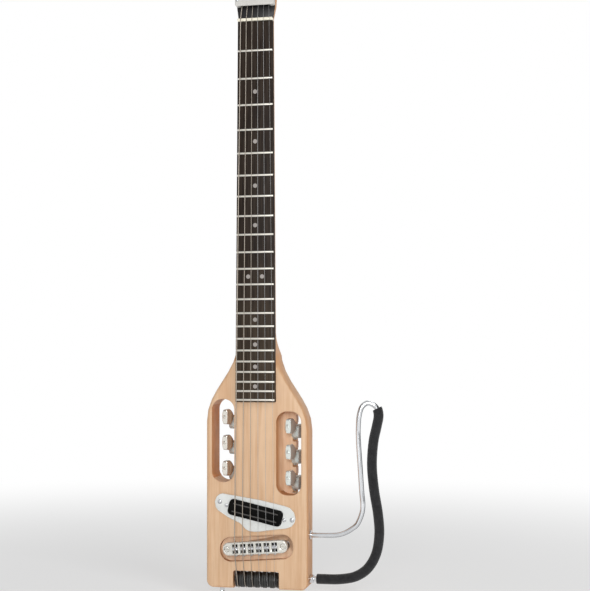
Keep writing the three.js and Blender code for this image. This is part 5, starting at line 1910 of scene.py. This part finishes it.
@dataclass
class LapRest(SubAssembly):
    """The bent rod, its foam sleeve and the sockets in the body."""

    lower_leg: float = -38.5
    reach: float = 83.0
    rise: float = 211.0
    set_back: float = 8.0
    rod_radius: float = 3.175
    rod_seat: float = 22.0
    rod_sides: int = 14
    bend_steps: int = 8
    least_span: float = 0.0001
    foam_radius: float = 6.0
    foam_bore: float = 3.9
    foam_sides: int = 18
    foam_rounding: float = 0.8
    foam_shares: Span = (0.455, 0.985)
    socket_bore: float = 3.475
    socket_sleeve: float = 4.6
    socket_depth: float = 20.0
    socket_lift: float = 0.1
    socket_chamfer: Span = (0.35, 0.25)
    socket_steps: int = 48
    upper_share: float = 0.249
    upper_collar: Span = (5.6, 1.2)
    lower_collar: Span = (5.0, 4.6)
    route_shares: tuple[Triple, ...] = (
        (0, 0.249, 0), (0.2, 0.249, 0), (0.4, 0.2535, 0), (0.52, 0.268, 0), (0.61, 0.289, 0.05),
        (0.68, 0.311, 0.1), (0.719, 0.339, 0.15), (0.755, 0.38, 0.2), (0.767, 0.424, 0.25),
        (0.751, 0.495, 0.3), (0.725, 0.642, 0.35), (0.701, 0.784, 0.4), (0.6975, 0.8555, 0.45),
        (0.712, 0.931, 0.5), (0.751, 0.979, 0.6), (0.821, 1, 0.8), (0.9, 0.993, 0.9),
        (0.962, 0.97, 1), (0.984, 0.93, 1), (0.955, 0.865, 1), (0.912, 0.787, 1),
        (0.888, 0.652, 1), (0.919, 0.509, 1), (0.977, 0.372, 0.95), (0.996, 0.258, 0.9),
        (0.948, 0.1445, 0.8), (0.825, 0.0625, 0.6), (0.656, 0.0188, 0.35),
        (0.4385, 0.0024, 0.1), (0.2, 0, 0), (0, 0, 0),
    )

    def bend(self) -> list[Vector]:
        """Lists the points of the rod outside the body, on a smooth bend through its route.

        Returns:
            The points, both ends included.
        """
        points = [
            spot(BODY_SIDE + out * self.reach, BODY_THICKNESS / 2 + back * self.set_back,
                 self.lower_leg + up * self.rise)
            for out, up, back in self.route_shares
        ]
        padded = [2 * points[0] - points[1], *points, 2 * points[-1] - points[-2]]
        bend = []
        for before, start, end, after in zip(padded, padded[1:], padded[2:], padded[3:]):
            first, middle, last = (
                max(math.sqrt((far - near).length), self.least_span)
                for near, far in ((before, start), (start, end), (end, after)))
            leaving = ((start - before) / first - (end - before) / (first + middle)
                       + (end - start) / middle) * middle
            arriving = ((end - start) / middle - (after - start) / (middle + last)
                        + (after - end) / last) * middle
            for step in range(self.bend_steps):
                t = step / self.bend_steps
                bend.append(
                    start * (2 * t**3 - 3 * t**2 + 1) + leaving * (t**3 - 2 * t**2 + t)
                    + end * (3 * t**2 - 2 * t**3) + arriving * (t**3 - t**2))
        return [*bend, points[-1]]

    def build(self) -> None:
        """Builds the lap rest."""
        bend = self.bend()
        ends = [point.copy() for point in (bend[0], bend[-1])]
        for end in ends:
            end.x = (BODY_SIDE - self.rod_seat) * MM
        route = [ends[0], *bend, ends[1]]
        rod = wire("lap_rest_rod_bent", route, self.rod_radius, self.rod_sides)
        self.finish(smooth(rod, CRISP_ROD), Look.CHROME, "lap_rest", "lap_rest_rod")
        self.foam(bend)
        self.socket("lap_rest_socket_upper", self.upper_share, self.upper_collar)
        self.socket("lap_rest_socket_lower", 0.0, self.lower_collar)

    def socket(self, node: str, share: float, collar: Span) -> None:
        """Models a socket with its collar.

        Args:
            node: the CAD node that it stands for.
            share: its height, as a share of the lap rest's rise.
            collar: the collar's radius and height.
        """
        rim, height = collar
        inward, under = self.socket_chamfer
        front = height + self.socket_lift
        socket = turned(node + "_turned", [
            (self.socket_bore, -self.socket_depth), (self.socket_sleeve, -self.socket_depth),
            (self.socket_sleeve, self.socket_lift), (rim, self.socket_lift),
            (rim, height - under), (rim - inward, front), (self.socket_bore, front),
        ], spot(BODY_SIDE, BODY_THICKNESS / 2, self.lower_leg + self.rise * share),
            Axis.ACROSS.value, self.socket_steps, ring=True)
        self.finish(smooth(socket, CRISP_RIM), Look.CHROME, "root", node)

    def foam(self, bend: Sequence[Vector]) -> None:
        """Models the foam sleeve, a little soft at its ends.

        Args:
            bend: the rod's points outside the body.
        """
        lengths = lengths_along(bend)
        start, end = (share * lengths[-1] for share in self.foam_shares)
        covered = [point for point, length in zip(bend, lengths) if start <= length <= end]
        sleeve = wire(
            "lap_rest_foam_sleeve", covered, self.foam_radius, self.foam_sides, caps=False)
        modified(
            sleeve, "SOLIDIFY", thickness=(self.foam_radius - self.foam_bore) * MM, offset=-1.0)
        tidy_mesh(sleeve, WIRE_CORNER_GAP)
        round_edges(sleeve, self.foam_rounding, segments=3, degrees=CRISP_ROD)
        self.finish(smooth(sleeve, CRISP_ROD), Look.FOAM, "lap_rest", "lap_rest_foam")


@dataclass
class StrapAndJack(SubAssembly):
    """The strap buttons and the output jack."""

    seat_depth: float = 0.4
    tail_across: float = -47.0
    tail_end: float = -50.5
    heel_up: float = 213.0
    button_outline: tuple[Span, ...] = (
        (1.6, -21.7), (1.6, 0.1), (4.2, 0.1), (4.2, 0.8), (3.4, 2.2), (3.0, 3.7), (3.0, 7.0),
        (3.4, 7.9), (6.6, 9.3), (7.0, 9.9), (6.9, 10.6), (6.3, 11.0), (3.2, 11.0), (3.0, 10.3))
    button_screw: ScrewHead = ScrewHead(2.8, 0.8)
    button_screw_seat: float = 10.2
    jack_rounding: float = 0.2
    jack_up: float = 10.0
    jack_into: float = 21.0
    jack_screw: ScrewHead = ScrewHead(2.2, 0.9)
    jack_screw_spread: float = 25.0

    def button(self, name: str, node: str, seat: Vector, axis: Vector) -> None:
        """Models a strap button with its screw.

        Args:
            name: the piece's name.
            node: the CAD node that it stands for.
            seat: the middle of its seat on the body, in metres.
            axis: the way that it stands out.
        """
        shell = turned(name, self.button_outline, seat, axis)
        head = self.button_screw.model(
            name + "_head", seat + axis * self.button_screw_seat * MM, axis)
        button = smooth(joined(name, [shell, head]), CRISP_CROWN)
        self.finish(button, Look.CHROME, "root", node)

    def build(self) -> None:
        """Builds the strap buttons and dresses the jack."""
        tail = spot(self.tail_across, BODY_THICKNESS / 2, self.tail_end + self.seat_depth)
        self.button("tail_button_turned", "strap_button_tail", tail, -Axis.UP.value)
        heel = spot(0, BODY_THICKNESS - self.seat_depth, self.heel_up)
        self.button("heel_button_turned", "strap_button_heel", heel, Axis.INTO.value)
        self.dressed("output_jack", Look.CHROME, self.jack_rounding)
        heads = [
            self.jack_screw.model(
                "jack", spot(-BODY_SIDE, self.jack_into,
                             self.jack_up + end * self.jack_screw_spread / 2),
                -Axis.ACROSS.value)
            for end in (-1, 1)
        ]
        self.finish(joined("jack_plate_screws", heads), Look.SCREW_STEEL)


# Camera, floor and light


@dataclass(frozen=True)
class Lamp:
    """A square lamp that looks at the guitar, in metres and watts."""

    name: str
    place: Triple
    size: float
    power: float


@dataclass
class Studio:
    """The camera, the floor and the light, in metres."""

    camera_place: Triple = (0.352, -1.468, 0.035)
    camera_turn: float = math.radians(12.0)
    lens: float = 75.0
    sensor: float = 36.0
    shift_up: float = 0.1007
    floor_radius: float = 30.0
    floor_steps: int = 96
    floor_levels: Span = (0.84, 0.86)
    floor_places: Span = (0.3, 0.7)
    floor_roughness: float = 0.8
    floor_gloss: float = 0.2
    cloud_scale: float = 3.0
    fade_span: Span = (0.35, 1.5)
    fade_start: float = 0.45
    world_light: float = 0.28
    mirror_heights: tuple[Span, ...] = (
        (0.0, 0.3), (0.42, 0.85), (0.58, 1.0), (0.66, 0.3), (0.8, 0.9), (1.0, 0.5))
    mirror_sides: tuple[Span, ...] = (
        (0.0, 0.9), (0.14, 0.2), (0.24, 1.0), (0.7, 1.0), (0.78, 0.15), (0.9, 0.15), (1.0, 0.9))
    lamp_aim: Triple = (0.03, 0.0, 0.1)
    lamps: tuple[Lamp, ...] = (
        Lamp("key lamp", (0.42, -2.35, 0.4), size=0.7, power=23.0),
        Lamp("side lamp", (1.5, -1.4, 1.6), size=0.8, power=13.0),
        Lamp("rim lamp", (0.4, 1.6, 2.0), size=1.2, power=10.0),
    )

    def build(self, lowest: float) -> None:
        """Sets up the whole studio.

        Args:
            lowest: the height of the guitar's lowest point.
        """
        self.camera()
        self.floor(lowest)
        for lamp in self.lamps:
            self.light(lamp)
        self.world()
        bpy.context.scene.view_settings.view_transform = "Standard"

    def placed(self, name: str, data: bpy.types.ID, place: Triple) -> Piece:
        """Puts a camera or a lamp into the scene.

        Args:
            name: its name.
            data: the camera or the lamp.
            place: where it stands.

        Returns:
            Its object.
        """
        obj = bpy.data.objects.new(name, data)
        bpy.context.scene.collection.objects.link(obj)
        obj.location = place
        return obj

    def camera(self) -> None:
        """Places the camera at the photograph's viewing angle."""
        data = bpy.data.cameras.new("camera")
        data.lens = self.lens
        data.sensor_width = self.sensor
        data.shift_y = self.shift_up
        camera = self.placed("camera", data, self.camera_place)
        camera.rotation_euler = (math.pi / 2, 0.0, self.camera_turn)
        bpy.context.scene.camera = camera

    def light(self, lamp: Lamp) -> None:
        """Places a lamp.

        Args:
            lamp: the lamp.
        """
        data = bpy.data.lights.new(lamp.name, "AREA")
        data.shape = "SQUARE"
        data.size = lamp.size
        data.energy = lamp.power
        way = Vector(self.lamp_aim) - Vector(lamp.place)
        obj = self.placed(lamp.name, data, lamp.place)
        obj.rotation_euler = way.to_track_quat("-Z", "Y").to_euler()

    def floor(self, lowest: float) -> None:
        """Makes a pale floor that fades into the white round it.

        Args:
            lowest: the height of the floor.
        """
        nothing_selected()
        bpy.ops.mesh.primitive_circle_add(
            vertices=self.floor_steps, radius=self.floor_radius, fill_type="NGON",
            location=(0, 0, lowest))
        floor = settle(bpy.context.object)
        floor.name = "floor"
        surface = Surface("pale floor")
        cloud = surface.noise(surface.here(), self.cloud_scale, Detail=2.0)
        levels = [grey(level) for level in self.floor_levels]
        surface.feed(
            Base_Color=surface.ramp(cloud, *zip(self.floor_places, levels)),
            Roughness=self.floor_roughness, Specular_IOR_Level=self.floor_gloss)
        away = surface.add("VectorMath", surface.here(), operation="LENGTH").outputs["Value"]
        fade = surface.remap(
            away, *self.fade_span, self.fade_start, interpolation_type="SMOOTHSTEP")
        glow = surface.add("Emission", (*WHITE, 1.0), Strength=1.0)
        faded = surface.add("MixShader", fade, surface.shader.outputs[0], glow.outputs[0])
        surface.put(faded.outputs[0], surface.result.inputs["Surface"])
        floor.data.materials.append(surface.material)
        floor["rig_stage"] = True

    def world(self) -> None:
        """Makes an even world, with darker sides for the metal to mirror."""
        world = bpy.data.worlds.new("studio")
        bpy.context.scene.world = world
        world.use_nodes = True
        fill = Nodes(world.node_tree)
        fill.tree.nodes.clear()
        way = fill.apart(fill.add("TexCoord").outputs["Generated"])
        heights, sides = (
            fill.ramp(fill.remap(way[axis], -1.0, 1.0), *((at, grey(level)) for at, level in stops))
            for axis, stops in (("Z", self.mirror_heights), ("X", self.mirror_sides)))
        even = fill.add("Background", (*WHITE, 1.0), self.world_light)
        mirrored = fill.add("Background", fill.tinted(heights, sides), 1.0)
        white = fill.add("Background", (*WHITE, 1.0), 1.0)
        rays = fill.add("LightPath").outputs
        straight = fill.calculate(
            "MAXIMUM", rays["Is Camera Ray"], rays["Is Transmission Ray"])
        glossy = fill.add(
            "MixShader", rays["Is Glossy Ray"], even.outputs[0], mirrored.outputs[0])
        shared = fill.add("MixShader", straight, glossy.outputs[0], white.outputs[0])
        fill.add("OutputWorld", shared.outputs[0])


def main() -> None:
    """Builds the guitar's sub-assemblies in order and the studio round them."""
    logging.basicConfig(level=logging.INFO, format="%(name)s %(message)s")
    for leftover in list(bpy.data.objects):
        bpy.data.objects.remove(leftover)
    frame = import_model()
    cad_box = [list(corner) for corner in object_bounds()]
    Studio().build(cad_box[0][2])
    groups = Groups()
    materials = {look: look.value.make(groups) for look in Look}
    for part in (NeckAndBody, Strings, Pickup, Bridge, Rollers, Tuners, LapRest, StrapAndJack):
        part(frame["nodes"], materials).build()


if __name__ == "__main__":
    main()
